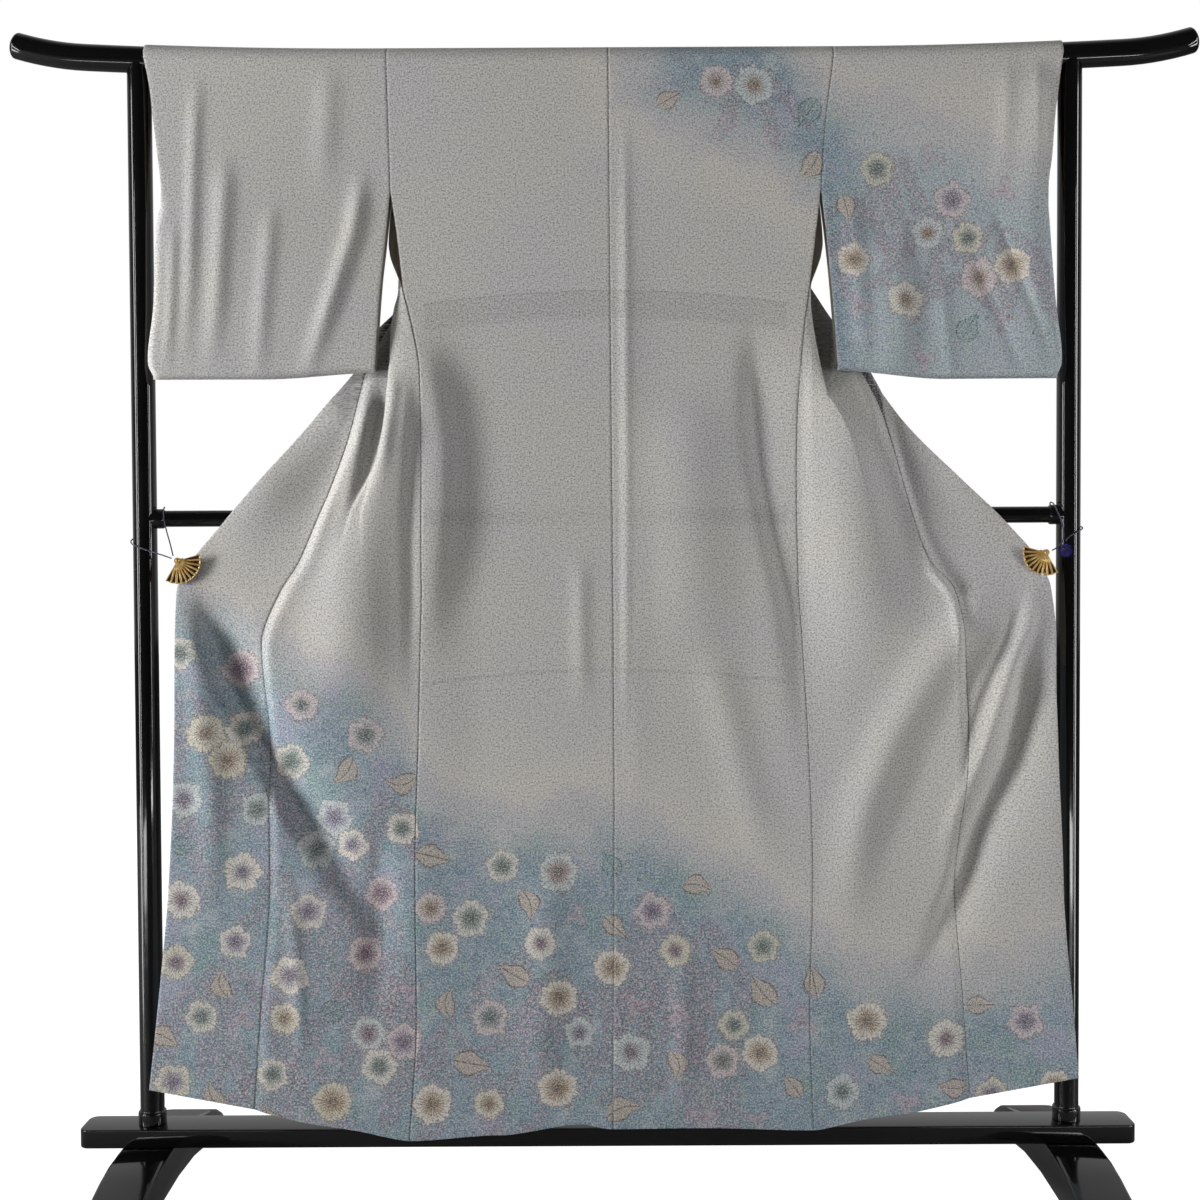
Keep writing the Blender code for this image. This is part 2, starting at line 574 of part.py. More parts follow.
def sleeve_ring(side):
    """One turn round the sleeve: (layer, share of the way down) or ("wrap", angle), from the near bottom."""
    pitch = (ROD_HEIGHT - side_height(side, 1))
    length = ROD_HEIGHT - SLEEVE_BOTTOM[side][0] - SLEEVE_TURN
    steps = int(length / pitch)
    shares = [k * pitch / length for k in range(steps + 1)] + [1.0]
    ring = [("near", share) for share in reversed(shares)]
    ring += [("wrap", pi * k / WRAP_STEPS) for k in range(1, WRAP_STEPS)]
    ring += [("far", share) for share in shares]
    ring.append(("bottom", 1.0))
    return ring


def sleeve_point(side, station, step):
    """A point of the sleeve, at a share of its width from the body to the cuff."""
    layer, amount = step
    across = SLEEVE_STATIONS[station]
    which = "left" if side == LEFT else "right"
    bottom = mix(*SLEEVE_BOTTOM[side], ease(2.0 * across))
    top = ROD_HEIGHT

    def out_at(height):
        inner = free_side(side, SLEEVE_SLIT_ROWS, height) + SEAM_GAP / 2
        return mix(inner, column(CUFF_ROWS, which, height), across)

    if layer == "wrap":
        out = out_at(top)
        return Vector((side * out, -WRAP_RADIUS * cos(amount), rod_height(out) + WRAP_RADIUS * sin(amount)))
    body_length = ROD_HEIGHT - SLEEVE_BOTTOM[side][0] - SLEEVE_TURN
    height = top - amount * body_length
    out = out_at(height)
    lift = (rod_height(out) - ROD_HEIGHT) * (1.0 - amount)
    drop = (SLEEVE_BOTTOM[side][0] - bottom) * amount
    beside = column(DEPTHS, "back", height) - SLEEVE_SWELL * ease((ARMHOLE_END - height) / 0.2)
    near = mix(beside, column(CUFF_ROWS, "near", height), ease(across))
    far = mix(free_side_depth(SLEEVE_SLIT_ROWS, height), column(CUFF_ROWS, "far", height), ease(across))
    if across == 1.0 and height + lift < CUFF_OPENING_END:
        near, far = CUFF_END_DEPTHS
    if layer == "bottom":
        if across == 1.0:
            out -= SLEEVE_TURN
        return Vector((side * out, (near + far) / 2, height + lift - drop - SLEEVE_TURN))
    return Vector((side * out, near if layer == "near" else far, height + lift - drop))


def make_sleeve(side, name):
    """The sleeve's tube, its bottom closed by the turn and its cuff sewn shut below the hand's opening."""
    ring = sleeve_ring(side)
    bm = bmesh.new()
    rounds = []
    for station in range(len(SLEEVE_STATIONS)):
        rounds.append([bm.verts.new(sleeve_point(side, station, step)) for step in ring])
    for first, second in zip(rounds, rounds[1:]):
        for k in range(len(ring)):
            after = (k + 1) % len(ring)
            bm.faces.new((first[k], first[after], second[after], second[k]))
    cuff = rounds[-1]
    bottom = len(ring) - 1
    near, far = 0, bottom - 1
    bm.faces.new((cuff[bottom], cuff[near], cuff[far]))
    while cuff[near + 1].co.z < CUFF_OPENING_END:
        bm.faces.new((cuff[near], cuff[near + 1], cuff[far - 1], cuff[far]))
        near += 1
        far -= 1
    bmesh.ops.recalc_face_normals(bm, faces=bm.faces)
    return thickened(name, bm, "silk", WALL)


def collar_route():
    """Seam line of the collar, from the left clip up over the neck and down to the right clip."""
    lean = COLLAR_WALL / 2 + WALL / 2 + COLLAR_CLEARANCE

    def down(side):
        points = []
        count = 17
        for k in range(count):
            height = mix(edge_height(side, 0), edge_height(side, UPPER_ROWS), ((k + 1.2) / (count + 0.2)))
            out = column(FRONT_ROWS[side], "edge", height)
            points.append(Vector((side * out, column(DEPTHS, "edge", height) + lean, height)))
        return points

    neck = []
    corner = NECK_HALF_WIDTH + 0.001
    for x in (-corner, -0.045, 0.005, 0.055, corner):
        neck.append(Vector((x, WRAP_RADIUS + lean, ROD_HEIGHT + 0.004)))
    return list(reversed(down(LEFT))) + neck + down(RIGHT)


def make_collar(name):
    route = collar_route()
    columns = 4
    inward = []
    for k, point in enumerate(route):
        before, after = route[max(0, k - 1)], route[min(len(route) - 1, k + 1)]
        first = (point - before).normalized() if k else (after - point).normalized()
        second = (after - point).normalized() if k < len(route) - 1 else first
        along = first + second
        along.y = 0.0
        along.normalize()
        across = Vector((along.z, 0.0, -along.x))
        stretch = 1.0 / max(0.5, across.dot(Vector((first.z, 0.0, -first.x)).normalized()))
        inward.append(across * COLLAR_WIDTH * stretch)

    def place(i, j):
        point = route[j] + inward[j] * (i / columns)
        height = min(point.z, ROD_HEIGHT)
        lean = COLLAR_WALL / 2 + WALL / 2 + COLLAR_CLEARANCE
        if abs(route[j].x) > NECK_HALF_WIDTH + 0.002:
            point.y = column(DEPTHS, "edge", height) + lean
        return point

    return sheet(name, columns, len(route) - 1, place, wall=COLLAR_WALL)


# ---------------------------------------------------------------- the stand
def make_rod():
    """Rings square to the rod's bowed middle line, drawn in at both tips."""
    half = [(x, 1.0) for x in ROD_STATIONS] + list(ROD_TIP_RINGS)
    stations = [(-x, scale) for x, scale in reversed(half)] + half[1:]
    bm = bmesh.new()
    rings = []
    for x, scale in stations:
        slope = atan2(rod_height(x + 0.001) - rod_height(x - 0.001), 0.002)
        ring = []
        for k in range(ROD_SIDES):
            turn = 2 * pi * k / ROD_SIDES
            up = ROD_RADIUS * scale * sin(turn)
            y = ROD_RADIUS * scale * cos(turn)
            ring.append(bm.verts.new((x - up * sin(slope), y, rod_height(x) + up * cos(slope))))
        rings.append(ring)
    for first, second in zip(rings, rings[1:]):
        for k in range(ROD_SIDES):
            after = (k + 1) % ROD_SIDES
            bm.faces.new((first[k], first[after], second[after], second[k]))
    bm.faces.new(rings[0])
    bm.faces.new(rings[-1])
    bmesh.ops.recalc_face_normals(bm, faces=bm.faces)
    rod = add_object("top_rod", mesh_from(bm, "top_rod"), "lacquer")
    shade(rod)
    return rod


def turned(name, profile, sides, slot="lacquer"):
    """A solid turned about Z from its radii and heights, closed at both ends."""
    bm = bmesh.new()
    ring = [bm.verts.new((radius, 0.0, height)) for radius, height in profile]
    edges = [bm.edges.new(pair) for pair in zip(ring, ring[1:])]
    bmesh.ops.spin(bm, geom=ring + edges, axis=(0, 0, 1), cent=(0, 0, 0), angle=2 * pi, steps=sides,
                   use_merge=True)
    bmesh.ops.remove_doubles(bm, verts=bm.verts, dist=1e-6)
    rims = [edge for edge in bm.edges if edge.is_boundary]
    bmesh.ops.holes_fill(bm, edges=rims, sides=0)
    bmesh.ops.recalc_face_normals(bm, faces=bm.faces)
    piece = add_object(name, mesh_from(bm, name), slot)
    shade(piece)
    return piece


def cutter(name, radius, length, place, turn=(0.0, 0.0, 0.0)):
    bm = bmesh.new()
    bmesh.ops.create_cone(bm, cap_ends=True, segments=40, radius1=radius, radius2=radius, depth=length)
    guide = bpy.data.objects.new(name, mesh_from(bm, name))
    bpy.context.scene.collection.objects.link(guide)
    guide.location = place
    guide.rotation_euler = turn
    guide.hide_render = True
    guide.display_type = "WIRE"
    return guide


def combine(piece, other, operation="DIFFERENCE"):
    cut = piece.modifiers.new(other.name, "BOOLEAN")
    cut.operation = operation
    cut.solver = "EXACT"
    cut.object = other
    return piece


def make_post(side, name):
    foot = BOARD_TOP + SEAM_GAP
    top = rod_height(POST_OUT) - SEATING
    collar = foot + POST_COLLAR_HEIGHT
    profile = (
        (POST_COLLAR_RADIUS, foot), (POST_COLLAR_RADIUS, collar - 0.003),
        (POST_COLLAR_RADIUS - 0.001, collar),
        (POST_RADIUS, collar + 0.001), (POST_RADIUS, top),
    )
    post = turned(name, profile, 24)
    post.location.x = side * POST_OUT
    slope = atan2(2 * ROD_BOW * (POST_OUT - ROD_BOW_FROM), 1.0)
    seat = cutter(name + "_seat", ROD_RADIUS + SEAM_GAP, 0.08, (side * POST_OUT, 0.0, rod_height(POST_OUT)),
                  (0.0, pi / 2 - side * slope, 0.0))
    return combine(post, seat)


def make_rail():
    end = POST_OUT - TENON
    flare = POST_OUT - POST_RADIUS - RAIL_FLARE_LENGTH
    profile = (
        (RAIL_FLARE_RADIUS, -end), (RAIL_FLARE_RADIUS, -flare), (RAIL_RADIUS, -flare + 0.002),
        (RAIL_RADIUS, flare - 0.002), (RAIL_FLARE_RADIUS, flare), (RAIL_FLARE_RADIUS, end),
    )
    rail = turned("cross_rail", profile, 20)
    rail.rotation_euler.y = pi / 2
    rail.location.z = RAIL_HEIGHT
    for side, name in ((LEFT, "left"), (RIGHT, "right")):
        place = (side * POST_OUT, 0.0, RAIL_HEIGHT)
        combine(rail, cutter("rail_end_" + name, POST_RADIUS + SEAM_GAP, 0.1, place))
    return rail


def make_board():
    bm = bmesh.new()
    bmesh.ops.create_cube(bm, size=1.0)
    left, right = BOARD_ENDS
    size = (right - left, 2 * BOARD_HALF_DEPTH, BOARD_TOP - BOARD_BOTTOM)
    bmesh.ops.scale(bm, vec=size, verts=bm.verts)
    bmesh.ops.translate(bm, vec=((left + right) / 2, 0.0, (BOARD_TOP + BOARD_BOTTOM) / 2), verts=bm.verts)
    corners = [edge for edge in bm.edges if abs(edge.verts[0].co.z - edge.verts[1].co.z) > 1e-4]
    bmesh.ops.bevel(bm, geom=corners, offset=CORNER_RADIUS, offset_type="OFFSET", affect="EDGES", segments=4,
                    profile=0.5, material=-1)
    rims = [edge for edge in bm.edges if edge.calc_face_angle(0.0) > 1.0]
    bmesh.ops.bevel(bm, geom=rims, offset=BOARD_ROUNDING, offset_type="OFFSET", affect="EDGES", segments=2,
                    profile=0.5, material=-1)
    board = add_object("base_board", mesh_from(bm, "base_board"), "lacquer")
    shade(board)
    return board


def make_foot(side, name):
    half = FOOT_WIDTH / 2
    mirrored = [(-y, z) for y, z in reversed(FOOT_PROFILE[1:-1])]
    outline = list(FOOT_PROFILE) + mirrored
    bm = bmesh.new()
    face = bm.faces.new([bm.verts.new((-half, y, z)) for y, z in outline])
    pulled = bmesh.ops.extrude_face_region(bm, geom=[face])
    moved = [item for item in pulled["geom"] if isinstance(item, bmesh.types.BMVert)]
    bmesh.ops.translate(bm, vec=(FOOT_WIDTH, 0.0, 0.0), verts=moved)
    bmesh.ops.recalc_face_normals(bm, faces=bm.faces)
    rims = [edge for edge in bm.edges if edge.verts[0].co.x == edge.verts[1].co.x
            and max(edge.verts[0].co.z, edge.verts[1].co.z) > 0.001]
    bmesh.ops.bevel(bm, geom=rims, offset=FOOT_ROUNDING, offset_type="OFFSET", affect="EDGES", segments=2,
                    profile=0.5, material=-1)
    foot = add_object(name, mesh_from(bm, name), "lacquer")
    foot.location.x = side * POST_OUT
    shade(foot)
    return foot


# ---------------------------------------------------------------- clips, ties and tassel
def make_clip(side, name):
    out, height = CLIP_HUBS[side]
    first, last = (radians(angle) for angle in FAN_ANGLES)
    steps = 2 * FAN_PLEATS

    def place(i, j):
        angle = mix(first, last, i / steps)
        radius = mix(FAN_INNER, FAN_OUTER, j / 2)
        pleat = FAN_PLEAT_DEPTH * (1 if i % 2 else -1) * (j / 2)
        x = side * (out - radius * cos(angle))
        return Vector((x, CLIP_DEPTH + pleat, height + radius * sin(angle)))

    clip = sheet(name, steps, 2, place, slot="gold", wall=FAN_WALL)
    back = column(DEPTHS, "edge", height) + COLLAR_WALL + WALL / 2 + COLLAR_CLEARANCE + CLIP_JAW_GAP
    front = CLIP_DEPTH - CLIP_HUB_PROUD
    end = back + 1.7 * CLIP_JAW_WALL
    bm = bmesh.new()
    bmesh.ops.create_cone(bm, cap_ends=True, segments=16, radius1=CLIP_HUB_RADIUS, radius2=CLIP_HUB_RADIUS,
                          depth=end - front)
    hub = add_object(name + "_hub", mesh_from(bm, name + "_hub"), "gold")
    hub.rotation_euler.x = pi / 2
    hub.location = (side * out, (front + end) / 2, height)
    bm = bmesh.new()
    bmesh.ops.create_cube(bm, size=1.0)
    bmesh.ops.scale(bm, vec=(CLIP_JAW_LENGTH, CLIP_JAW_WALL, CLIP_JAW_WIDTH), verts=bm.verts)
    bmesh.ops.translate(bm, vec=(CLIP_JAW_LENGTH / 2, 0.0, 0.0), verts=bm.verts)
    jaw = add_object(name + "_jaw", mesh_from(bm, name + "_jaw"), "gold")
    lean = radians(CLIP_JAW_LEAN)
    jaw.rotation_euler.y = lean if side == LEFT else pi - lean
    jaw.location = (side * out, back + CLIP_JAW_WALL / 2 + SEAM_GAP, height)
    for extra in (hub, jaw):
        extra.hide_render = True
        extra.display_type = "WIRE"
        combine(clip, extra, "UNION")
    return clip


def smooth_route(points, steps):
    """Points read from a smooth curve through a route's own points."""
    points = [Vector(point) for point in points]
    read = []
    for k in range(len(points) - 1):
        before = points[max(0, k - 1)]
        start, end = points[k], points[k + 1]
        after = points[min(len(points) - 1, k + 2)]
        for step in range(steps):
            t = step / steps
            bend = 2 * before - 5 * start + 4 * end - after
            twist = 3 * start - before - 3 * end + after
            read.append(0.5 * (2 * start + (end - before) * t + bend * t ** 2 + twist * t ** 3))
    read.append(points[-1])
    return read


def make_tie(side, name):
    curve = bpy.data.curves.new(name, "CURVE")
    curve.dimensions = "3D"
    curve.bevel_depth = CORD_RADIUS
    curve.bevel_resolution = 2
    curve.use_fill_caps = True
    route = smooth_route([(side * out, y, z) for out, y, z in CORD_ROUTES[side]], CORD_STEPS)
    spline = curve.splines.new("POLY")
    spline.points.add(len(route) - 1)
    for point, place in zip(spline.points, route):
        point.co = (*place, 1.0)
    return add_object(name, curve, "cord")


def make_tassel(name):
    """A knotted head whose lower faces are drawn out into strands."""
    bm = bmesh.new()
    bmesh.ops.create_icosphere(bm, subdivisions=2, radius=TASSEL_RADIUS)
    bmesh.ops.rotate(bm, cent=(0, 0, 0), verts=bm.verts,
                     matrix=Vector((0, 0, -1)).rotation_difference(Vector(TASSEL_LEAN)).to_matrix())
    lean = Vector(TASSEL_LEAN).normalized()
    low = [face for face in bm.faces if face.calc_center_median().normalized().dot(lean) > 0.45]
    bmesh.ops.inset_individual(bm, faces=low, thickness=0.0002)
    drawn = bmesh.ops.extrude_discrete_faces(bm, faces=low)["faces"]
    for face in drawn:
        middle = face.calc_center_median()
        sideways = middle - lean * middle.dot(lean)
        place = lean * TASSEL_LENGTH + sideways * TASSEL_SPREAD
        for vertex in face.verts:
            vertex.co = place + (vertex.co - middle) * 0.8
    bmesh.ops.translate(bm, vec=TASSEL_TOP, verts=bm.verts)
    tassel = add_object(name, mesh_from(bm, name), "cord")
    shade(tassel)
    return tassel


def main():
    clear_scene()
    make_rod()
    for side, which in ((LEFT, "left"), (RIGHT, "right")):
        make_post(side, "post_" + which)
        make_foot(side, "foot_" + which)
        make_back(side, "back_" + which)
        make_front(side, "front_" + which)
        make_overlap(side, "overlap_" + which)
        make_sleeve(side, "sleeve_" + which)
        make_clip(side, "clip_" + which)
        make_tie(side, "tie_" + which)
    make_rail()
    make_board()
    make_collar("collar")
    make_tassel("tassel")


main()
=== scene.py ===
# %% [markdown]
# # A silk kimono on a lacquered stand
# The garment hangs by its sleeves from a curved rod, its back to the eye, and two small fan clips draw its
# fronts out to the posts. The frame holds the solids; this script gives each of them its real surface and
# finish. Distances called "out" run from the middle of the garment towards either sleeve, in metres as
# everything is.

# %% Load the frame
from collections import namedtuple
from functools import partial
from math import atan2, cos, pi, radians, sin

import bmesh
import bpy
import numpy as np
from mathutils import Matrix, Vector


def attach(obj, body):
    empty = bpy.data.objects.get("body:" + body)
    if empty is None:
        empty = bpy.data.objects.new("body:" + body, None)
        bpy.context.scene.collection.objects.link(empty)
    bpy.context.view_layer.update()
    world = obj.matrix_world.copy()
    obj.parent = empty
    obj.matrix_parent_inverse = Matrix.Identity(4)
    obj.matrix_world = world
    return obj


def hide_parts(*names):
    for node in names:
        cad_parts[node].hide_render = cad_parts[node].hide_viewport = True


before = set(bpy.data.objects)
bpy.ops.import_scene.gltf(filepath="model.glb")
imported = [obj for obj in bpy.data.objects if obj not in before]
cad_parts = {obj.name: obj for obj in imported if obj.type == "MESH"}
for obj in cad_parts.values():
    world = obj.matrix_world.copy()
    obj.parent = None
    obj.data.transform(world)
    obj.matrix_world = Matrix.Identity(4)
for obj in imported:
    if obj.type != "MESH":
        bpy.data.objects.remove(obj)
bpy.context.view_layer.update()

print("solids to dress:", len(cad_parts))

# %% [markdown]
# ## The camera
# A stand as tall as a person is seen from its own middle height, so its posts stay upright. The lens is a
# little longer than normal, and the camera dips and leans by a degree or so, as a hand-set tripod does.

# %% Place the camera
CAMERA_PLACE = Vector((-0.0104, -2.30, 0.968))
CAMERA_DIP = radians(1.6)
CAMERA_LEAN = radians(0.28)
SENSOR_WIDTH, LENS_LENGTH = 36.0, 46.62        # in millimetres, as lenses are named
lens = bpy.data.cameras.new("camera")
lens.sensor_width = SENSOR_WIDTH
lens.lens = LENS_LENGTH
camera = bpy.data.objects.new("camera", lens)
bpy.context.scene.collection.objects.link(camera)
aim = Matrix.Rotation(pi / 2 - CAMERA_DIP, 4, "X") @ Matrix.Rotation(-CAMERA_LEAN, 4, "Z")
camera.matrix_world = Matrix.Translation(CAMERA_PLACE) @ aim
bpy.context.scene.camera = camera
print("camera stands", -CAMERA_PLACE.y, "m in front of the rod")

# %% [markdown]
# ## Finishes as recipes
# A shader is a chain of small sums. The helpers below add one node for each step and hand back what it
# works out, and plain sums with that add the nodes for them, so that a finish can be read from top to
# bottom like a recipe.

# %% Make the recipe helper
WHITE = (1.0, 1.0, 1.0, 1.0)


def tint(red, green, blue):
    """A colour as a paint chart gives it, from 0 to 255, in the linear light that shaders use."""
    def linear(level):
        level /= 255.0
        return level / 12.92 if level <= 0.04045 else ((level + 0.055) / 1.055) ** 2.4
    return (linear(red), linear(green), linear(blue), 1.0)


class Value:
    """What a node works out. A sum with it adds the node that works out the sum."""

    def __init__(self, make, socket):
        self.make = make
        self.socket = socket

    def __add__(self, other):
        return self.make.calc("ADD", self, other)

    def __sub__(self, other):
        return self.make.calc("SUBTRACT", self, other)

    def __rsub__(self, other):
        return self.make.calc("SUBTRACT", other, self)

    def __mul__(self, other):
        return self.make.calc("MULTIPLY", self, other)

    def __truediv__(self, other):
        return self.make.calc("DIVIDE", self, other)

    def __pow__(self, other):
        return self.make.calc("POWER", self, other)

    def __abs__(self):
        return self.make.calc("ABSOLUTE", self)


class Step:
    """One node, asked for what it works out by name or number."""

    def __init__(self, make, node):
        self.make = make
        self.node = node

    def __getitem__(self, name):
        return Value(self.make, self.node.outputs[name])


class Recipe:
    """One material or sky, and the steps that lead to it."""

    def __init__(self, owner):
        owner.use_nodes = True
        self.owner = owner
        self.tree = owner.node_tree

    def join(self, value, socket):
        if isinstance(value, Value):
            self.tree.links.new(value.socket, socket)
        else:
            socket.default_value = value

    def add(self, kind, inputs=(), **settings):
        node = self.tree.nodes.new(kind)
        for key, value in settings.items():
            setattr(node, key, value)
        for key, value in dict(inputs).items():
            self.join(value, node.inputs[key])
        return Step(self, node)

    def finish(self, **sockets):
        shader = self.tree.nodes["Principled BSDF"]
        for name, value in sockets.items():
            self.join(value, shader.inputs[name.replace("_", " ")])
        return self.owner

    def calc(self, operation, *values):
        return self.add("ShaderNodeMath", enumerate(values), operation=operation)[0]

    def most(self, first, *others):
        for other in others:
            first = self.calc("MAXIMUM", first, other)
        return first

    def fade(self, value, start, end, low=0.0, high=1.0):
        """From low to high as the value goes from start to end."""
        inputs = {"Value": value, "From Min": start, "From Max": end, "To Min": low, "To Max": high}
        return self.add("ShaderNodeMapRange", inputs, interpolation_type="SMOOTHSTEP")["Result"]

    def hump(self, value, middle, width):
        """One on the middle, falling to nothing a width away."""
        return self.fade(abs(value - middle), width, 0.0)

    def blend(self, share, first, second):
        return self.add("ShaderNodeMix", {0: share, 6: first, 7: second}, data_type="RGBA")[2]

    def pick(self, value, colour, *others):
        """The first colour, or another from the value at which it takes over."""
        for start, other in others:
            colour = self.blend(self.fade(value, start, start + 0.02), colour, other)
        return colour

    def noise(self, place, scale, detail=2.0, roughness=0.5):
        inputs = {"Vector": place, "Scale": scale, "Detail": detail, "Roughness": roughness}
        return self.add("ShaderNodeTexNoise", inputs)["Fac"]

    def cells(self, place, scale, randomness=1.0):
        inputs = {"Vector": place, "Scale": scale, "Randomness": randomness}
        return self.add("ShaderNodeTexVoronoi", inputs, voronoi_dimensions="2D")

    def attribute(self, name):
        return self.add("ShaderNodeAttribute", attribute_name=name, attribute_type="GEOMETRY")

    def cut(self):
        """The place on the flat cut."""
        return self.add("ShaderNodeUVMap", uv_map="cut")["UV"]

    def bump(self, height, distance, strength):
        inputs = {"Height": height, "Distance": distance, "Strength": strength}
        return self.add("ShaderNodeBump", inputs)["Normal"]

    def parts(self, vector):
        step = self.add("ShaderNodeSeparateXYZ", {0: vector})
        return step["X"], step["Y"], step["Z"]


def new_finish(name):
    return Recipe(bpy.data.materials.new(name))


print("recipe helpers ready")

# %% [markdown]
# ## The studio
# Silk shows its folds under light that grazes it, and black lacquer looks black only when it has little to
# mirror. So tall narrow lights stand at both sides, the left one far off and much the stronger, a small
# lamp helps from high on the left, and the surroundings are dim. Six more narrow lights are only for the
# lacquer to mirror: they draw the thin streaks along the round posts and the rod, and the cloth doesn't see
# them.

# %% Light the studio
SKY_FRONT = 0.035
SKY_BACK = 0.42
SKY_FADE = (-0.35, 0.75)       # where the sky starts to brighten, and where it has, from front to back
LAMP_AIM = Vector((0.0, 0.0, 0.95))
Lamp = namedtuple("Lamp", "name place wide tall power mirrored", defaults=(False,))
LAMPS = (
    Lamp("left_strip", (-4.4, -1.20, 1.02), 0.75, 2.2, 322.0),
    Lamp("right_strip", (2.1, -0.75, 0.98), 0.32, 1.8, 20.0),
    Lamp("left_lamp", (-2.6, -2.2, 2.3), 0.45, 0.5, 16.0),
    Lamp("right_lamp", (2.6, -2.6, 1.20), 0.35, 0.5, 9.0),
    Lamp("rear_lamp", (-1.6, 3.60, 2.20), 2.20, 2.2, 70.0),
    Lamp("left_streak", (-2.6, -0.95, 1.05), 0.34, 2.4, 20.0, True),
    Lamp("right_streak", (2.6, -0.95, 1.05), 0.34, 2.4, 22.0, True),
    Lamp("left_low_line", (-1.3, -1.60, 0.25), 0.90, 0.1, 2.0, True),
    Lamp("right_low_line", (1.3, -1.60, 0.25), 0.90, 0.1, 3.0, True),
    Lamp("left_line", (-2.8, -2.00, 1.05), 0.10, 2.2, 12.0, True),
    Lamp("right_line", (2.8, -2.00, 1.05), 0.10, 2.2, 10.0, True),
)


def light_world():
    """A white backdrop for the eye, and a dim-to-bright sky from front to back for everything else."""
    world = bpy.data.worlds.new("studio")
    bpy.context.scene.world = world
    make = Recipe(world)
    _, depth, _ = make.parts(make.add("ShaderNodeTexCoord")["Generated"])
    strength = make.fade(depth, *SKY_FADE, SKY_FRONT, SKY_BACK)
    sky = make.tree.nodes["Background"]
    make.join(WHITE, sky.inputs["Color"])
    make.join(strength, sky.inputs["Strength"])
    backdrop = make.add("ShaderNodeBackground", {"Color": WHITE})[0]
    seen = make.add("ShaderNodeLightPath")["Is Camera Ray"]
    choice = make.add("ShaderNodeMixShader", {0: seen, 1: Step(make, sky)[0], 2: backdrop})[0]
    make.join(choice, make.tree.nodes["World Output"].inputs["Surface"])


def set_lamp(lamp):
    light = bpy.data.lights.new(lamp.name, "AREA")
    light.shape = "RECTANGLE"
    light.size = lamp.wide
    light.size_y = lamp.tall
    light.energy = lamp.power
    holder = bpy.data.objects.new(lamp.name, light)
    bpy.context.scene.collection.objects.link(holder)
    holder.visible_diffuse = not lamp.mirrored
    holder.visible_glossy = lamp.mirrored
    holder.location = lamp.place
    holder.rotation_euler = (LAMP_AIM - Vector(lamp.place)).to_track_quat("-Z", "Y").to_euler()


light_world()
for lamp in LAMPS:
    set_lamp(lamp)
bpy.context.scene.view_settings.view_transform = "Standard"
print("lights:", ", ".join(lamp.name for lamp in LAMPS))

# %% [markdown]
# ## The floor
# The stand rests on a plain pale floor. It is the studio's, not the object's. To the eye it glows a little, so
# that it meets the white backdrop without a line, and only soft shadows are left on it.

# %% Lay the floor
FLOOR_HALF_WIDTH = 14.0
FLOOR_GREY = (0.16, 0.16, 0.16, 1.0)
FLOOR_GLOW = 0.99


def lay_floor():
    bm = bmesh.new()
    bmesh.ops.create_grid(bm, x_segments=1, y_segments=1, size=FLOOR_HALF_WIDTH)
    mesh = bpy.data.meshes.new("floor")
    bm.to_mesh(mesh)
    bm.free()
    make = new_finish("floor_paint")
    glow = make.add("ShaderNodeLightPath")["Is Camera Ray"] * FLOOR_GLOW
    mesh.materials.append(make.finish(Base_Color=FLOOR_GREY, Roughness=0.9, Emission_Color=WHITE,
                                      Emission_Strength=glow))
    floor = bpy.data.objects.new("floor", mesh)
    bpy.context.scene.collection.objects.link(floor)
    return floor


print("laid:", lay_floor().name)

# %% [markdown]
# ## The hang of the cloth
# The garment is cut in straight strips, so each strip can be told by a few numbers at a few heights: how
# far out its seams and folds lie, and how deep. The tables are the ones the solids follow. A smooth curve
# joins their rows, and every point of the finer cloth is read from it.

# %% Write down the tables
LEFT, RIGHT = -1, 1
WHICH = {LEFT: "left", RIGHT: "right"}
SIDES = tuple(WHICH.items())
SILK_WALL = 0.0012             # outer silk and lining together
SEAM_GAP = 0.00004
COLLAR_WALL = 0.003
COLLAR_LEAN = 0.0036           # the collar's middle hangs this far behind the edge that it is sewn to
COLLAR_WIDTH = 0.055
NECK_HALF_WIDTH = 0.092
ROD_HEIGHT = 1.692
RAIL_HEIGHT = 1.027
WRAP_RADIUS = 0.0208           # middle of the cloth's wall where it lies over the rod
UPPER_ROWS, LOWER_ROWS = 23, 7
CLIP_SHARE = 0.54              # share of the front edge that the collar takes
SEAM_LIFT = 0.62               # how far the overlap seam shares the lift of the front edge
OVERLAP_TOP_ROW = {LEFT: 12, RIGHT: 13}
CLIP_HUBS = {LEFT: (0.626, 0.965), RIGHT: (0.640, 0.971)}


def table(kind, *rows):
    return tuple(kind(*row) for row in rows)


Depth = namedtuple("Depth", "height back side near gap edge crest")
DEPTHS = table(
    Depth,
    (1.692, -0.0208, 0.0208, 0.0208, 0.0, 0.0208, 0.0),
    (1.6, -0.021, 0.015, 0.007, 0.0005, 0.02, 0.0),
    (1.5, -0.0215, 0.004, 0.0015, 0.006, 0.017, 0.0),
    (1.42, -0.022, -0.008, -0.002, 0.0075, 0.013, 0.0),
    (1.36, -0.0225, -0.0225, -0.0145, 0.0122, 0.01, 0.0),
    (1.3, -0.023, -0.025, -0.0225, 0.0137, 0.005, 0.0),
    (1.24, -0.0235, -0.027, -0.027, 0.013, -0.0005, 0.004),
    (1.15, -0.0245, -0.0285, -0.0305, 0.011, -0.009, 0.009),
    (1.04, -0.025, -0.03, -0.0335, 0.0055, -0.02, 0.009),
    (0.95, -0.0265, -0.031, -0.035, 0.0015, -0.028, 0.007),
    (0.8, -0.03, -0.0335, -0.0365, 0.0, -0.0325, 0.005),
    (0.5, -0.036, -0.039, -0.041, 0.0, -0.0385, 0.002),
    (0.11, -0.045, -0.045, -0.0455, 0.0, -0.045, 0.001),
)
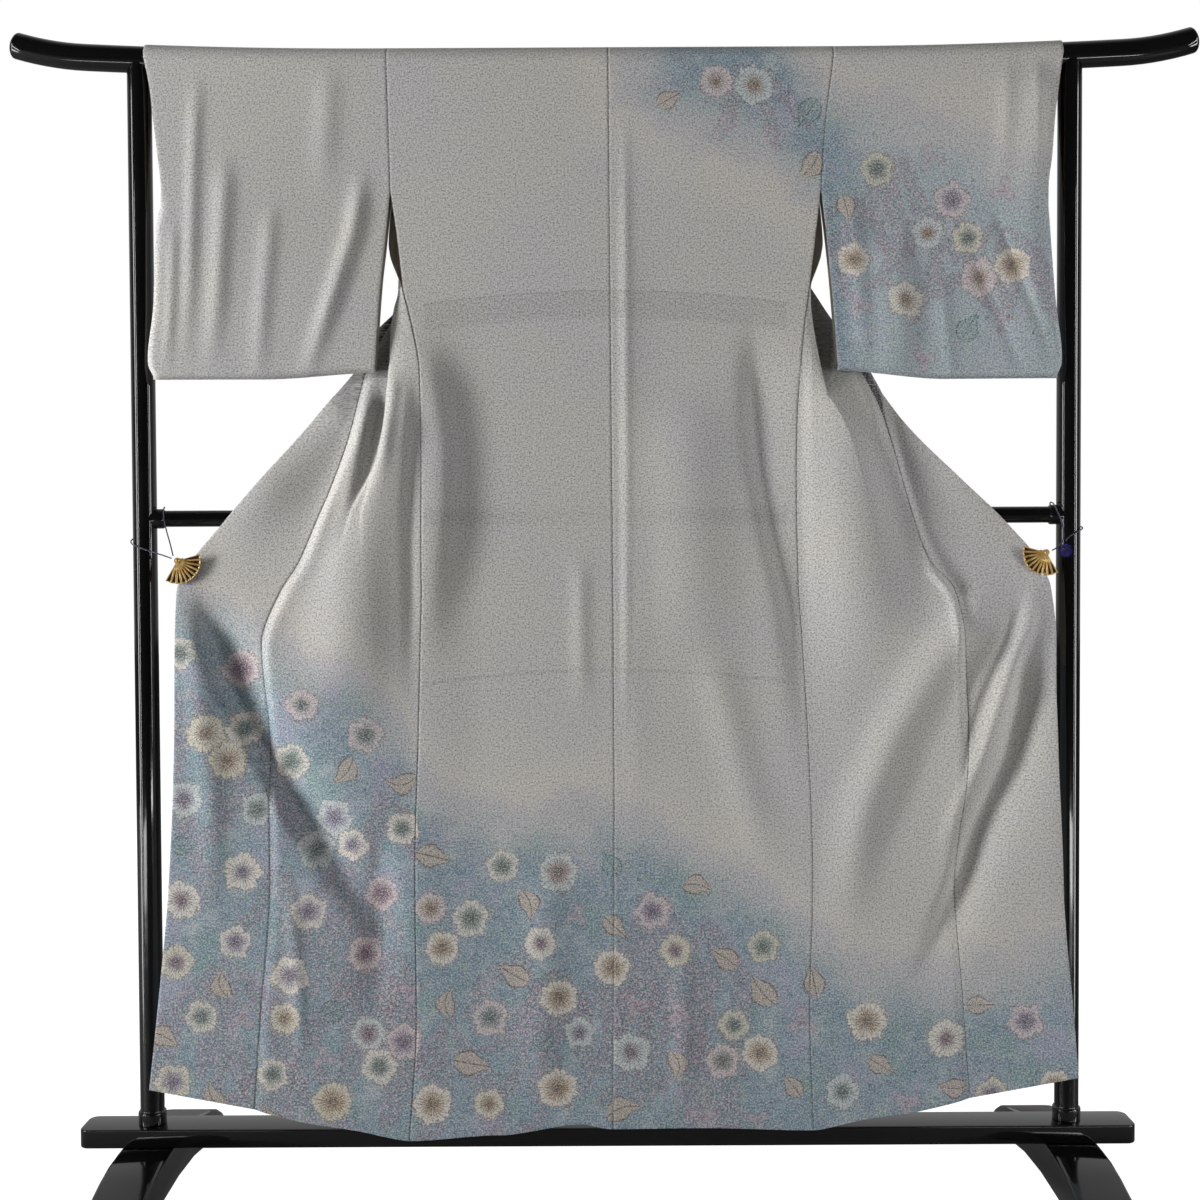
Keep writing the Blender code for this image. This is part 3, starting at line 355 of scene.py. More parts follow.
INNER_FOLD_CLEARANCE = 0.0015
FOLD_START_DEPTH, FOLD_START_FADE = 0.014, 0.7
DOUBLED_FROM = {LEFT: 0.95, RIGHT: 1.19}       # above this height the front doubles back behind itself

Front = namedtuple("Front", "height side fold_out fold_in seam edge")
FRONT_ROWS = {
    LEFT: table(
        Front,
        (1.692, 0.3175, 0.262, 0.175, 0.092, 0.092),
        (1.6, 0.3155, 0.27, 0.15, 0.147, 0.147),
        (1.5, 0.313, 0.288, 0.165, 0.203, 0.203),
        (1.42, 0.304, 0.303, 0.175, 0.25, 0.25),
        (1.36, 0.2955, 0.304, 0.19, 0.286, 0.286),
        (1.33, 0.288, 0.312, 0.202, 0.306, 0.306),
        (1.3, 0.281, 0.317, 0.218, 0.326, 0.326),
        (1.24, 0.271, 0.3195, 0.252, 0.354, 0.371),
        (1.16, 0.269, 0.325, 0.3, 0.371, 0.436),
        (1.08, 0.269, 0.341, 0.348, 0.399, 0.508),
        (1.02, 0.2695, 0.355, 0.376, 0.425, 0.561),
        (0.96, 0.27, 0.35, 0.39, 0.451, 0.61),
        (0.92, 0.27, 0.345, 0.4, 0.477, 0.629),
        (0.84, 0.273, 0.342, 0.41, 0.506, 0.632),
        (0.7, 0.277, 0.345, 0.42, 0.497, 0.634),
        (0.5, 0.283, 0.35, 0.425, 0.495, 0.643),
        (0.3, 0.282, 0.355, 0.43, 0.51, 0.662),
        (0.11, 0.2935, 0.37, 0.445, 0.524, 0.684),
    ),
    RIGHT: table(
        Front,
        (1.692, 0.3325, 0.275, 0.18, 0.092, 0.092),
        (1.6, 0.321, 0.28, 0.158, 0.15, 0.15),
        (1.5, 0.3143, 0.295, 0.172, 0.213, 0.213),
        (1.42, 0.306, 0.304, 0.182, 0.264, 0.264),
        (1.36, 0.2975, 0.3, 0.196, 0.306, 0.306),
        (1.33, 0.293, 0.301, 0.208, 0.325, 0.325),
        (1.3, 0.289, 0.305, 0.224, 0.345, 0.345),
        (1.24, 0.284, 0.315, 0.29, 0.374, 0.379),
        (1.16, 0.279, 0.328, 0.345, 0.408, 0.437),
        (1.08, 0.278, 0.335, 0.372, 0.431, 0.516),
        (1.02, 0.2785, 0.335, 0.39, 0.448, 0.58),
        (0.96, 0.28, 0.337, 0.4, 0.47, 0.63),
        (0.92, 0.281, 0.34, 0.41, 0.505, 0.646),
        (0.84, 0.286, 0.345, 0.42, 0.517, 0.651),
        (0.7, 0.293, 0.35, 0.43, 0.525, 0.652),
        (0.5, 0.299, 0.355, 0.43, 0.507, 0.661),
        (0.3, 0.294, 0.36, 0.44, 0.519, 0.68),
        (0.11, 0.2995, 0.37, 0.45, 0.532, 0.694),
    ),
}
Centre = namedtuple("Centre", "height x")
CENTRE_ROWS = table(
    Centre,
    (1.692, 0.005), (1.355, 0.0065), (0.641, 0.009), (0.11, 0.005),
)
Edge = namedtuple("Edge", "height left right far")
ARMHOLE_ROWS = table(
    Edge,
    (1.692, 0.3175, 0.3325, 0.0208), (1.6, 0.3155, 0.321, 0.015), (1.55, 0.314, 0.3172, 0.0098),
    (1.502, 0.313, 0.3143, 0.004),
)
ARMHOLE_END, SIDE_SEAM_TOP = 1.502, 1.36
BACK_SLIT_ROWS = table(
    Edge,
    (1.502, 0.313, 0.3143, -0.0215), (1.43, 0.3032, 0.306, -0.022), (1.36, 0.2955, 0.2975, -0.0225),
)
FRONT_SLIT_ROWS = table(
    Edge,
    (1.502, 0.313, 0.3143, 0.004), (1.43, 0.318, 0.319, -0.0065), (1.36, 0.2955, 0.2975, -0.0225),
)
SLEEVE_SLIT_ROWS = table(
    Edge,
    (1.502, 0.313, 0.3143, 0.004), (1.42, 0.3215, 0.3235, -0.0015), (1.37, 0.327, 0.328, -0.005),
    (1.235, 0.337, 0.338, -0.009),
)
SEAM_EASE_FROM, SEAM_EASE_SPAN = 1.20, 0.10
Hem = namedtuple("Hem", "x height")
HEM = table(
    Hem,
    (-0.69, 0.19), (-0.6, 0.174), (-0.522, 0.16), (-0.454, 0.142), (-0.381, 0.121), (-0.293, 0.113),
    (-0.161, 0.121), (-0.043, 0.136), (0.005, 0.129), (0.132, 0.13), (0.299, 0.126), (0.377, 0.133),
    (0.453, 0.152), (0.532, 0.177), (0.603, 0.192), (0.7, 0.201),
)
Cuff = namedtuple("Cuff", "height left right near far")
CUFF_ROWS = table(
    Cuff,
    (1.699, 0.672, 0.668, -0.0208, 0.0208),
    (1.645, 0.661, 0.66, -0.022, 0.019),
    (1.598, 0.656, 0.654, -0.0235, 0.01),
    (1.55, 0.65, 0.65, -0.025, -0.004),
    (1.501, 0.645, 0.644, -0.027, -0.016),
    (1.445, 0.654, 0.647, -0.029, -0.02),
    (1.344, 0.658, 0.655, -0.032, -0.0205),
    (1.265, 0.667, 0.664, -0.0335, -0.0205),
    (1.235, 0.66, 0.658, -0.0335, -0.021),
)
CUFF_OPENING_END = 1.502
SLEEVE_SWELL = 0.008
SLEEVE_BOTTOM = {LEFT: (1.238, 1.229), RIGHT: (1.238, 1.225)}
SLEEVE_TURN = 0.007
print("rows in the front's tables:", [len(rows) for rows in FRONT_ROWS.values()])

# %% [markdown]
# ## Folds
# A fold is a soft ridge or trough along a route over the cloth. The long ones fan out from the clips and
# fall from the sleeves' seams, where the cloth is drawn out; between them lie the narrow creases of thin
# silk. Each has its own height, width and route, and it fades out at both ends. Those of the side seams run
# over the back and the front alike.

# %% Name the folds
Fold = namedtuple("Fold", "lift width path lean", defaults=(1.0,))
FRONT_FOLDS = {
    LEFT: table(
        Fold,
        (0.017, 0.06, ((0.299, 1.298), (0.317, 1.197), (0.339, 1.096), (0.357, 0.994), (0.372, 0.892),
         (0.384, 0.79), (0.385, 0.672))),
        (-0.004, 0.009, ((0.285, 1.197), (0.282, 1.095), (0.284, 0.994), (0.284, 0.877), (0.283, 0.76))),
        (0.005, 0.013, ((0.331, 1.241), (0.35, 1.168), (0.366, 1.096), (0.384, 1.03), (0.398, 0.98))),
        (0.004, 0.009, ((0.302, 1.255), (0.311, 1.197), (0.319, 1.139), (0.33, 1.067))),
        (-0.005, 0.012, ((0.311, 1.226), (0.335, 1.154), (0.353, 1.081), (0.371, 1.023))),
        (0.015, 0.048, ((0.349, 1.255), (0.387, 1.197), (0.431, 1.142), (0.493, 1.079), (0.556, 1.021),
         (0.593, 0.984))),
        (-0.018, 0.044, ((0.607, 0.988), (0.582, 0.878), (0.546, 0.783), (0.501, 0.69), (0.454, 0.606),
         (0.403, 0.522), (0.35, 0.448), (0.283, 0.359)), 0.44),
        (0.005, 0.022, ((0.625, 0.96), (0.6, 0.8), (0.58, 0.62), (0.578, 0.4))),
        (-0.005, 0.024, ((0.335, 0.62), (0.335, 0.42), (0.345, 0.24))),
        (0.003, 0.012, ((0.47, 0.52), (0.455, 0.36), (0.45, 0.2))),
    ),
    RIGHT: table(
        Fold,
        (0.0175, 0.058, ((0.337, 1.339), (0.349, 1.252), (0.357, 1.15), (0.363, 1.049), (0.372, 0.947),
         (0.389, 0.844), (0.401, 0.727))),
        (-0.004, 0.018, ((0.398, 1.252), (0.417, 1.15), (0.43, 1.048), (0.451, 0.946), (0.465, 0.844))),
        (0.0085, 0.008, ((0.398, 1.223), (0.408, 1.165), (0.427, 1.085), (0.454, 0.997), (0.476, 0.946),
         (0.505, 0.905), (0.511, 0.829), (0.512, 0.727))),
        (0.015, 0.032, ((0.617, 0.989), (0.551, 0.914), (0.471, 0.803), (0.413, 0.701), (0.372, 0.595),
         (0.354, 0.477), (0.351, 0.389))),
        (0.009, 0.011, ((0.64, 0.974), (0.611, 0.872), (0.574, 0.77), (0.542, 0.675), (0.504, 0.587),
         (0.472, 0.506))),
        (-0.018, 0.015, ((0.626, 0.916), (0.61, 0.843), (0.6, 0.755), (0.58, 0.668), (0.542, 0.579),
         (0.513, 0.491), (0.472, 0.388), (0.435, 0.314)), 2.6),
        (-0.004, 0.01, ((0.617, 0.945), (0.574, 0.829), (0.537, 0.734), (0.508, 0.653))),
        (0.004, 0.03, ((0.65, 0.8), (0.648, 0.6), (0.655, 0.4))),
        (0.016, 0.058, ((0.37, 1.275), (0.394, 1.233), (0.456, 1.168), (0.515, 1.103), (0.574, 1.038),
         (0.612, 1.002))),
        (0.02, 0.14, ((0.58, 1.02), (0.605, 0.9), (0.62, 0.78), (0.625, 0.6), (0.625, 0.33))),
    ),
}
SEAM_FOLDS = table(
    Fold,
    (0.013, 0.07, ((-0.275, 1.342), (-0.27, 1.269), (-0.253, 1.197), (-0.242, 1.124), (-0.244, 1.037),
     (-0.26, 0.906), (-0.272, 0.78)), 0.46),
    (-0.012, 0.02, ((0.218, 1.383), (0.22, 1.296), (0.221, 1.194), (0.228, 1.107), (0.25, 0.991),
     (0.271, 0.903), (0.286, 0.772), (0.299, 0.625)), 3.0),
)
BACK_FOLDS = table(
    Fold,
    (0.0038, 0.008, ((0.028, 1.714), (0.027, 1.412), (0.027, 1.123), (0.027, 0.875), (0.024, 0.67))),
    (0.0015, 0.022, ((0.03, 1.62), (0.034, 1.3), (0.04, 0.9), (0.035, 0.4))),
    (0.002, 0.006, ((0.022, 1.021), (0.026, 0.904), (0.024, 0.758), (0.021, 0.67))),
    (0.0025, 0.013, ((-0.039, 0.992), (-0.038, 0.846), (-0.036, 0.729))),
    (0.005, 0.03, ((0.135, 0.875), (0.179, 0.728), (0.222, 0.552), (0.244, 0.463))),
    (0.004, 0.03, ((-0.09, 0.56), (-0.095, 0.3), (-0.1, 0.115))),
    (0.003, 0.016, ((0.105, 0.42), (0.11, 0.28), (0.108, 0.14))),
    (0.008, 0.06, ((0.11, 1.26), (0.118, 1.1), (0.125, 0.95), (0.14, 0.76))),
)
SLEEVE_FOLDS = {
    LEFT: table(
        Fold,
        (0.004, 0.014, ((-0.548, 1.588), (-0.555, 1.487), (-0.563, 1.357), (-0.576, 1.227))),
        (0.003, 0.01, ((-0.59, 1.717), (-0.598, 1.545), (-0.603, 1.372), (-0.614, 1.228))),
        (0.006, 0.013, ((-0.346, 1.564), (-0.367, 1.443), (-0.4, 1.342), (-0.448, 1.204))),
        (0.003, 0.013, ((-0.482, 1.516), (-0.494, 1.386), (-0.51, 1.207))),
        (0.003, 0.008, ((-0.628, 1.487), (-0.632, 1.343), (-0.643, 1.228))),
        (0.0025, 0.018, ((-0.397, 1.746), (-0.405, 1.601), (-0.416, 1.486))),
    ),
    RIGHT: table(
        Fold,
        (0.0045, 0.01, ((0.626, 1.741), (0.633, 1.596), (0.636, 1.453))),
        (0.003, 0.012, ((0.586, 1.741), (0.583, 1.597), (0.572, 1.482))),
        (-0.0045, 0.008, ((0.552, 1.51), (0.604, 1.373), (0.638, 1.294), (0.67, 1.196))),
        (-0.003, 0.008, ((0.516, 1.45), (0.572, 1.323), (0.626, 1.203))),
        (0.004, 0.014, ((0.358, 1.537), (0.366, 1.396), (0.375, 1.281), (0.381, 1.185))),
        (0.003, 0.012, ((0.434, 1.508), (0.43, 1.353), (0.439, 1.192))),
        (0.003, 0.01, ((0.485, 1.397), (0.497, 1.28), (0.512, 1.185))),
        (0.012, 0.05, ((0.655, 1.75), (0.656, 1.6), (0.66, 1.4), (0.665, 1.2))),
        (0.007, 0.026, ((0.412, 1.47), (0.414, 1.35), (0.418, 1.15))),
    ),
}
print("folds:", [sum(len(folds) for folds in table.values()) for table in (FRONT_FOLDS, SLEEVE_FOLDS)],
      len(BACK_FOLDS))

# %% [markdown]
# ## Reading the tables
# Each helper takes whole arrays of heights or places at once, which keeps the cloth quick to lay out.

# %% Read the tables
FAR_AWAY = 9.0


def mix(first, second, share):
    return first + (second - first) * share


def ease(share):
    share = np.clip(share, 0.0, 1.0)
    return share * share * (3.0 - 2.0 * share)


def column(rows, name, height):
    """One named column of a table at many heights, on a smooth curve that never overshoots its rows."""
    rows = sorted(rows, key=lambda row: row.height)
    heights = np.array([row.height for row in rows])
    values = np.array([getattr(row, name) for row in rows])
    steps = np.diff(values) / np.diff(heights)
    both = steps[:-1] * steps[1:]
    total = np.where(both > 0.0, steps[:-1] + steps[1:], 1.0)
    slopes = np.concatenate((steps[:1], np.where(both > 0.0, 2.0 * both / total, 0.0), steps[-1:]))
    height = np.clip(height, heights[0], heights[-1])
    index = np.clip(np.searchsorted(heights, height) - 1, 0, len(steps) - 1)
    span = heights[index + 1] - heights[index]
    t = (height - heights[index]) / span
    rise = values[index + 1] - values[index]
    start, end = slopes[index] * span, slopes[index + 1] * span
    return values[index] + t * (start + t * (3 * rise - 2 * start - end + t * (start + end - 2 * rise)))


def hem_height(x):
    places = np.array([hem.x for hem in HEM])
    heights = np.array([hem.height for hem in HEM])
    index = np.clip(np.searchsorted(places, x) - 1, 0, len(HEM) - 2)
    share = ease((x - places[index]) / (places[index + 1] - places[index]))
    return mix(heights[index], heights[index + 1], share)


def fold_lift(folds, out, height):
    """How far the folds push each point towards the eye; a fold's far side may be wider or narrower."""
    lift = np.zeros_like(out)
    for fold in folds:
        path = np.array(fold.path)
        nearest, along, beyond = np.full_like(out, FAR_AWAY), np.zeros_like(out), np.zeros_like(out)
        done = 0.0
        for start, end in zip(path, path[1:]):
            step = end - start
            length = np.hypot(*step)
            share = ((out - start[0]) * step[0] + (height - start[1]) * step[1]) / length ** 2
            share = np.clip(share, 0.0, 1.0)
            away = np.hypot(out - start[0] - share * step[0], height - start[1] - share * step[1])
            along = np.where(away < nearest, done + share * length, along)
            over = (height - start[1]) * step[0] - (out - start[0]) * step[1]
            beyond = np.where(away < nearest, over, beyond)
            nearest = np.minimum(nearest, away)
            done += length
        fade = ease(5.0 * along / done - 0.3) * ease(2.5 * (1.0 - along / done))
        width = np.where(beyond > 0.0, fold.width * fold.lean, fold.width)
        lift += fold.lift * fade * np.exp(-(nearest / width) ** 2)
    return lift


def spline_weights(count, share):
    """How much each of a row's control points counts along a clamped cubic curve."""
    spans = count - 3
    knots = np.concatenate((np.zeros(3), np.arange(spans + 1), np.full(3, spans)))
    at = np.minimum(share * spans, spans - 1e-9)
    weights = [((knots[k] <= at) & (at < knots[k + 1])).astype(float) for k in range(count + 3)]
    for degree in (1, 2, 3):
        for k in range(count + 3 - degree):
            before, after = knots[k + degree] - knots[k], knots[k + degree + 1] - knots[k + 1]
            rising = (at - knots[k]) / before * weights[k] if before else 0.0
            falling = (knots[k + degree + 1] - at) / after * weights[k + 1] if after else 0.0
            weights[k] = rising + falling
    return np.array(weights[:count])


print("hem at the centre seam:", round(float(hem_height(np.array([0.005]))[0]), 3))

# %% [markdown]
# ## Where each strip lies
# The back hangs from the rod to the hem, the front turns out from the side seam, doubles back behind itself
# and runs on to the overlap, and the sleeve is a tube over the rod. Each function gives the places of a
# strip's points, and also their place in the flat cut and their distance from the nearest seam, which the
# dye and the seams follow.

# %% Lay out the strips
Layout = namedtuple("Layout", "x y z u v seam")


def row_at(share):
    """The table's row at a share of the way down from the rod to the hem."""
    above = UPPER_ROWS * share / CLIP_SHARE
    below = UPPER_ROWS + LOWER_ROWS * (share - CLIP_SHARE) / (1.0 - CLIP_SHARE)
    return np.where(share <= CLIP_SHARE, above, below)


def share_at(row):
    return CLIP_SHARE * row / UPPER_ROWS if row <= UPPER_ROWS else \
        mix(CLIP_SHARE, 1.0, (row - UPPER_ROWS) / LOWER_ROWS)


def side_height(side, share):
    hem = hem_height(np.array([side * FRONT_ROWS[side][-1].side]))[0]
    return mix(ROD_HEIGHT, hem, share)


def edge_height(side, share):
    """Height of the front edge: down the slanting collar to the clip, then straight to the hem."""
    clip = CLIP_HUBS[side][1] - 0.012
    hem = hem_height(np.array([side * FRONT_ROWS[side][-1].edge]))[0]
    below = (share - CLIP_SHARE) / (1.0 - CLIP_SHARE)
    return np.where(share <= CLIP_SHARE, mix(ROD_HEIGHT, clip, share / CLIP_SHARE), mix(clip, hem, below))


def free_edge(name, slit_rows, side_rows, height):
    """The armhole's value above, the open slit's between, the side seam's below."""
    slit = column(slit_rows, name, height)
    below = slit if slit_rows is SLEEVE_SLIT_ROWS else column(side_rows, "side", height)
    below = np.where(height > SIDE_SEAM_TOP, slit, below)
    return np.where(height > ARMHOLE_END, column(ARMHOLE_ROWS, name, height), below)


def free_side(side, slit_rows, height):
    return free_edge(WHICH[side], slit_rows, FRONT_ROWS[side], height)


def free_side_depth(slit_rows, height):
    return free_edge("far", slit_rows, DEPTHS, height)


print("half way down lies row", float(row_at(0.5)))

# %% [markdown]
# ## The back
# The back falls straight from the rod. Its wall goes on over the top of the rod, where the front takes
# over, so the shoulder needs no seam, and its folds are calmed next to the seams so that the strips still
# meet there.

# %% Lay out the back
BACK_WRAP_SHARE = 0.04         # share of the back's length that lies over the rod


def back_layout(side, across, along):
    """Back: across from the centre seam to the side, along from the hem up and over the rod."""
    down = np.clip(1.0 - along / (1.0 - BACK_WRAP_SHARE), 0.0, 1.0)
    angle = pi * np.clip((along - 1.0) / BACK_WRAP_SHARE + 1.0, 0.0, 1.0)
    level = side_height(side, down)
    centre = column(CENTRE_ROWS, "x", level) + side * SEAM_GAP / 2
    edge = side * (free_side(side, BACK_SLIT_ROWS, level) - SEAM_GAP / 2)
    x = mix(centre, edge, across)
    z = mix(ROD_HEIGHT, hem_height(x), down)
    middle = column(DEPTHS, "back", z)
    beside = np.where(z < SIDE_SEAM_TOP, column(DEPTHS, "side", z), middle)
    y = mix(middle, beside, ease(across * 3.0 - 2.0))
    calm = ease(6.0 * (1.0 - across)) * ease(8.0 * across)
    y = y - fold_lift(BACK_FOLDS, x, z) * calm - fold_lift(SEAM_FOLDS, x, z)
    wrapped = angle > 0.0
    y = np.where(wrapped, -WRAP_RADIUS * np.cos(angle), y)
    v = z + WRAP_RADIUS * angle
    z = np.where(wrapped, ROD_HEIGHT + WRAP_RADIUS * np.sin(angle), z)
    return Layout(x, y, z, x, v, np.minimum(abs(x - centre), abs(edge - x)))


print("the back's share over the rod:", BACK_WRAP_SHARE)

# %% [markdown]
# ## The fronts and the overlaps
# Across each front lie a few control points: the side seam, the outer fold, the fold behind it and the
# overlap's seam. A smooth curve through them bends the cloth round both folds. The overlap goes on from
# that seam to the edge.

# %% Lay out the fronts and the overlaps
OUTER_LIFT, INNER_LIFT = 0.2, 0.35             # how far the two folds share the lift of the front edge
DOUBLING_SPAN = 0.07           # height over which the doubled part opens
LONGEST_REACH, LONGEST_STEP = 0.05, 0.02       # of the control points beside the seams


def front_controls(side, share):
    """Control points of the front's rows, from the side seam to the overlap seam."""
    rows, row = FRONT_ROWS[side], row_at(share)
    low, high = side_height(side, share), edge_height(side, share)
    out_z, in_z, seam_z = (mix(low, high, lift) for lift in (OUTER_LIFT, INNER_LIFT, SEAM_LIFT))
    fold_out, fold_in = column(rows, "fold_out", out_z), column(rows, "fold_in", in_z)
    open_share = np.clip(row - OVERLAP_TOP_ROW[side] + 1.0, 0.0, 1.0)
    seam_out = mix(column(rows, "edge", high), column(rows, "seam", seam_z), open_share)
    seam_z = mix(high, seam_z, open_share)
    side_out = free_side(side, FRONT_SLIT_ROWS, low) - SEAM_GAP
    eased = 1.5 * SEAM_GAP + SILK_WALL / 2 * ease((low - SEAM_EASE_FROM) / SEAM_EASE_SPAN)
    side_out = side_out + np.where(low < SIDE_SEAM_TOP + SEAM_EASE_SPAN / 2, eased, 0.0)
    near, in_near = column(DEPTHS, "near", out_z), column(DEPTHS, "near", in_z)
    gap = column(DEPTHS, "gap", out_z) * ease((out_z - DOUBLED_FROM[side]) / DOUBLING_SPAN)
    in_gap = column(DEPTHS, "gap", in_z) * ease((in_z - DOUBLED_FROM[side]) / DOUBLING_SPAN)
    far = column(DEPTHS, "edge", seam_z)
    crest = column(DEPTHS, "crest", seam_z) * open_share
    towards = fold_in - seam_out
    reach = np.clip(towards, -LONGEST_REACH, LONGEST_REACH)
    step = np.clip(fold_out - side_out, -LONGEST_STEP, LONGEST_STEP)
    side_y = free_side_depth(FRONT_SLIT_ROWS, low)
    turn_back = np.where(low > SIDE_SEAM_TOP, 0.5, 0.0)
    leg = np.maximum(0.0, FOLD_START_DEPTH - FOLD_START_FADE * abs(towards))
    in_far = np.minimum(in_near + 2 * in_gap, column(DEPTHS, "edge", in_z) - INNER_FOLD_CLEARANCE)
    in_far = np.minimum(in_far, far - leg)
    points = (
        (side_out, side_y, low),
        (side_out + 0.5 * step, side_y + turn_back * (near - side_y), low),
        (fold_out, near, out_z),
        (fold_out, near + gap, out_z),
        (fold_in, np.minimum(in_near + in_gap, (in_near + in_far) / 2), in_z),
        (fold_in, in_far, in_z),
        (seam_out + 0.50 * reach, far - 0.8 * crest - 0.5 * leg, mix(in_z, seam_z, 0.6)),
        (seam_out + 0.20 * reach, far - 1.4 * crest - 0.2 * leg, mix(in_z, seam_z, 0.85)),
        (seam_out + 0.07 * reach, far, mix(in_z, seam_z, 0.95)),
        (seam_out, far, seam_z),
    )
    return np.array(points)


def run_along(across, along, x, y):
    """Length of cloth from the first column to each point of its row."""
    order = np.lexsort((across, along))
    columns = len(np.unique(np.round(across, 6)))
    x, y = x[order].reshape(-1, columns), y[order].reshape(-1, columns)
    steps = np.hypot(np.diff(x, axis=1), np.diff(y, axis=1))
    lengths = np.concatenate((np.zeros((len(x), 1)), np.cumsum(steps, axis=1)), axis=1)
    result = np.empty_like(along)
    result[order] = lengths.ravel()
    return result


FRONT_WIDTHS = {}              # for each side: shares down, and the front's flat width there


def front_layout(side, across, along):
    """Front: across from the side seam to the overlap seam, along from the rod to the hem."""
    controls = front_controls(side, along)
    weights = spline_weights(len(controls), across)
    out, y, z = np.einsum("kn,kcn->cn", weights, controls)
    settle = np.clip(row_at(along), 0.0, 1.0)
    y = mix(WRAP_RADIUS, y, settle)
    z = mix(ROD_HEIGHT - 2 * SEAM_GAP, z, settle)
    y = y - fold_lift(FRONT_FOLDS[side], out, z) * ease(12.0 * across)
    y = y - fold_lift(SEAM_FOLDS, side * out, z)
    run = run_along(across, along, out, y)
    last = across > 1.0 - 1e-6
    order = np.argsort(along[last])
    FRONT_WIDTHS[side] = (along[last][order], run[last][order])
    width = np.interp(along, *FRONT_WIDTHS[side])
    start = free_side(side, FRONT_SLIT_ROWS, side_height(side, along))
    return Layout(side * out, y, z, side * (start + run), z, np.minimum(run, width - run))


def overlap_layout(side, across, along):
    """Overlap: across from its seam to the free edge, along from its tip at the collar to the hem."""
    top = share_at(OVERLAP_TOP_ROW[side] - 0.9)
    share = mix(top, 1.0, along)
    seam_out, _, seam_z = front_controls(side, share)[-1]
    start = seam_out + SEAM_GAP
    edge_z = edge_height(side, share)
    edge_out = column(FRONT_ROWS[side], "edge", edge_z)
    out = mix(start, np.maximum(edge_out, start + 0.0006), across)
    z = mix(seam_z, edge_z, across)
    y = column(DEPTHS, "edge", z) - fold_lift(FRONT_FOLDS[side], out, z)
    y = y - fold_lift(SEAM_FOLDS, side * out, z)
    run = out - start
    before = free_side(side, FRONT_SLIT_ROWS, side_height(side, share))
    before = before + np.interp(share, *FRONT_WIDTHS[side])
    return Layout(side * out, y, z, side * (before + run), z, run)


print("control points across a front:", len(front_controls(LEFT, np.array([0.5]))))

# %% [markdown]
# ## The sleeves
# A sleeve is one strip that runs up its near side, over the rod, down its far side and back under. It is
# narrower where the armhole is open, and the two walls close at the cuff below the hand's opening.

# %% Lay out the sleeves
ROD_BOW, ROD_BOW_FROM = 0.06, 0.33
TIP_CURL, TIP_CURL_FROM = 1.14, 0.76


def rod_height(x):
    """The rod's middle: level over the body, lifting to its ends and curled up at the tips."""
    out = abs(x)
    bow = ROD_BOW * np.maximum(0.0, out - ROD_BOW_FROM) ** 2
    return ROD_HEIGHT + bow + TIP_CURL * np.maximum(0.0, out - TIP_CURL_FROM) ** 2


SLEEVE_RING = ((1.0, 0.0), (0.0, 0.0), (0.0, pi), (1.0, pi), (1.0, 2 * pi))     # how far down, and turned
SLEEVE_RING_SHARES = (0.0, 0.46, 0.53, 0.985, 1.0)
CORNER = 0.022                 # radius of the rounded corner under the cuff
LEAST_HALF_DEPTH = 0.002
CUFF_CLOSES_FROM = 0.965       # share of the sleeve's width


def sleeve_layout(side, across, along):
    """Sleeve: across from the body to the cuff, along once round from the bottom, up the near side."""
    down = np.interp(along, SLEEVE_RING_SHARES, [step[0] for step in SLEEVE_RING])
    angle = np.interp(along, SLEEVE_RING_SHARES, [step[1] for step in SLEEVE_RING])
    beside_body, under_cuff = SLEEVE_BOTTOM[side]
    drop = (beside_body - mix(beside_body, under_cuff, ease(2.0 * across))) * down
    height = ROD_HEIGHT - down * (ROD_HEIGHT - beside_body - SLEEVE_TURN)
    inner = free_side(side, SLEEVE_SLIT_ROWS, height) + SEAM_GAP / 2
    cuff = column(CUFF_ROWS, WHICH[side], height)
    below = np.clip((beside_body + CORNER - height) / CORNER, 0.0, 1.0)
    cuff = cuff - CORNER * 0.6 * (1.0 - np.sqrt(1.0 - 0.98 * below ** 2))
    out = mix(inner, cuff, across)
    near = column(DEPTHS, "back", height) - SLEEVE_SWELL * ease((ARMHOLE_END - height) / 0.2)
    near = mix(near, column(CUFF_ROWS, "near", height), ease(across))
    far = mix(free_side_depth(SLEEVE_SLIT_ROWS, height), column(CUFF_ROWS, "far", height), ease(across))
    lift = (rod_height(out) - ROD_HEIGHT) * (1.0 - down)
    swell = fold_lift(SLEEVE_FOLDS[side], side * out, height) * ease(20.0 * across)
    swell = swell * ease(8.0 * (1.0 - across)) * ease((ROD_HEIGHT - height) / 0.05)
    sewn = ease((CUFF_OPENING_END - height) / 0.02)
    close = np.clip((across - CUFF_CLOSES_FROM) / (1.0 - CUFF_CLOSES_FROM), 0.0, 1.0) * sewn
    half = np.maximum((far - near) / 2 + swell, LEAST_HALF_DEPTH) * np.sqrt(1.0 - close ** 2)
    rise = np.where(down > 0.5, SLEEVE_TURN, WRAP_RADIUS)
    y = (near + far) / 2 - half * np.cos(angle)
    z = height + lift - drop + rise * np.sin(angle)
    unrolled = np.where(along < 0.5, height, 2 * ROD_HEIGHT - height)
    unrolled = unrolled + WRAP_RADIUS * np.minimum(angle, pi) + SLEEVE_TURN * np.maximum(angle - pi, 0.0)
    seam = np.where(height > ARMHOLE_END - 0.02, out - inner, 0.05)
    return Layout(side * out, y, z, side * out, unrolled, seam)


print("layouts: back, front, overlap, sleeve")

# %% [markdown]
# ## The dyed zones
# The teal is brushed in while the silk is wet, so it ends in a soft cloudy edge. A zone is told by its
# boundary: the height of its edge at a few places across. Each point of the cloth keeps how deep inside a
# zone it lies, and the dye's recipe turns that depth into colour.

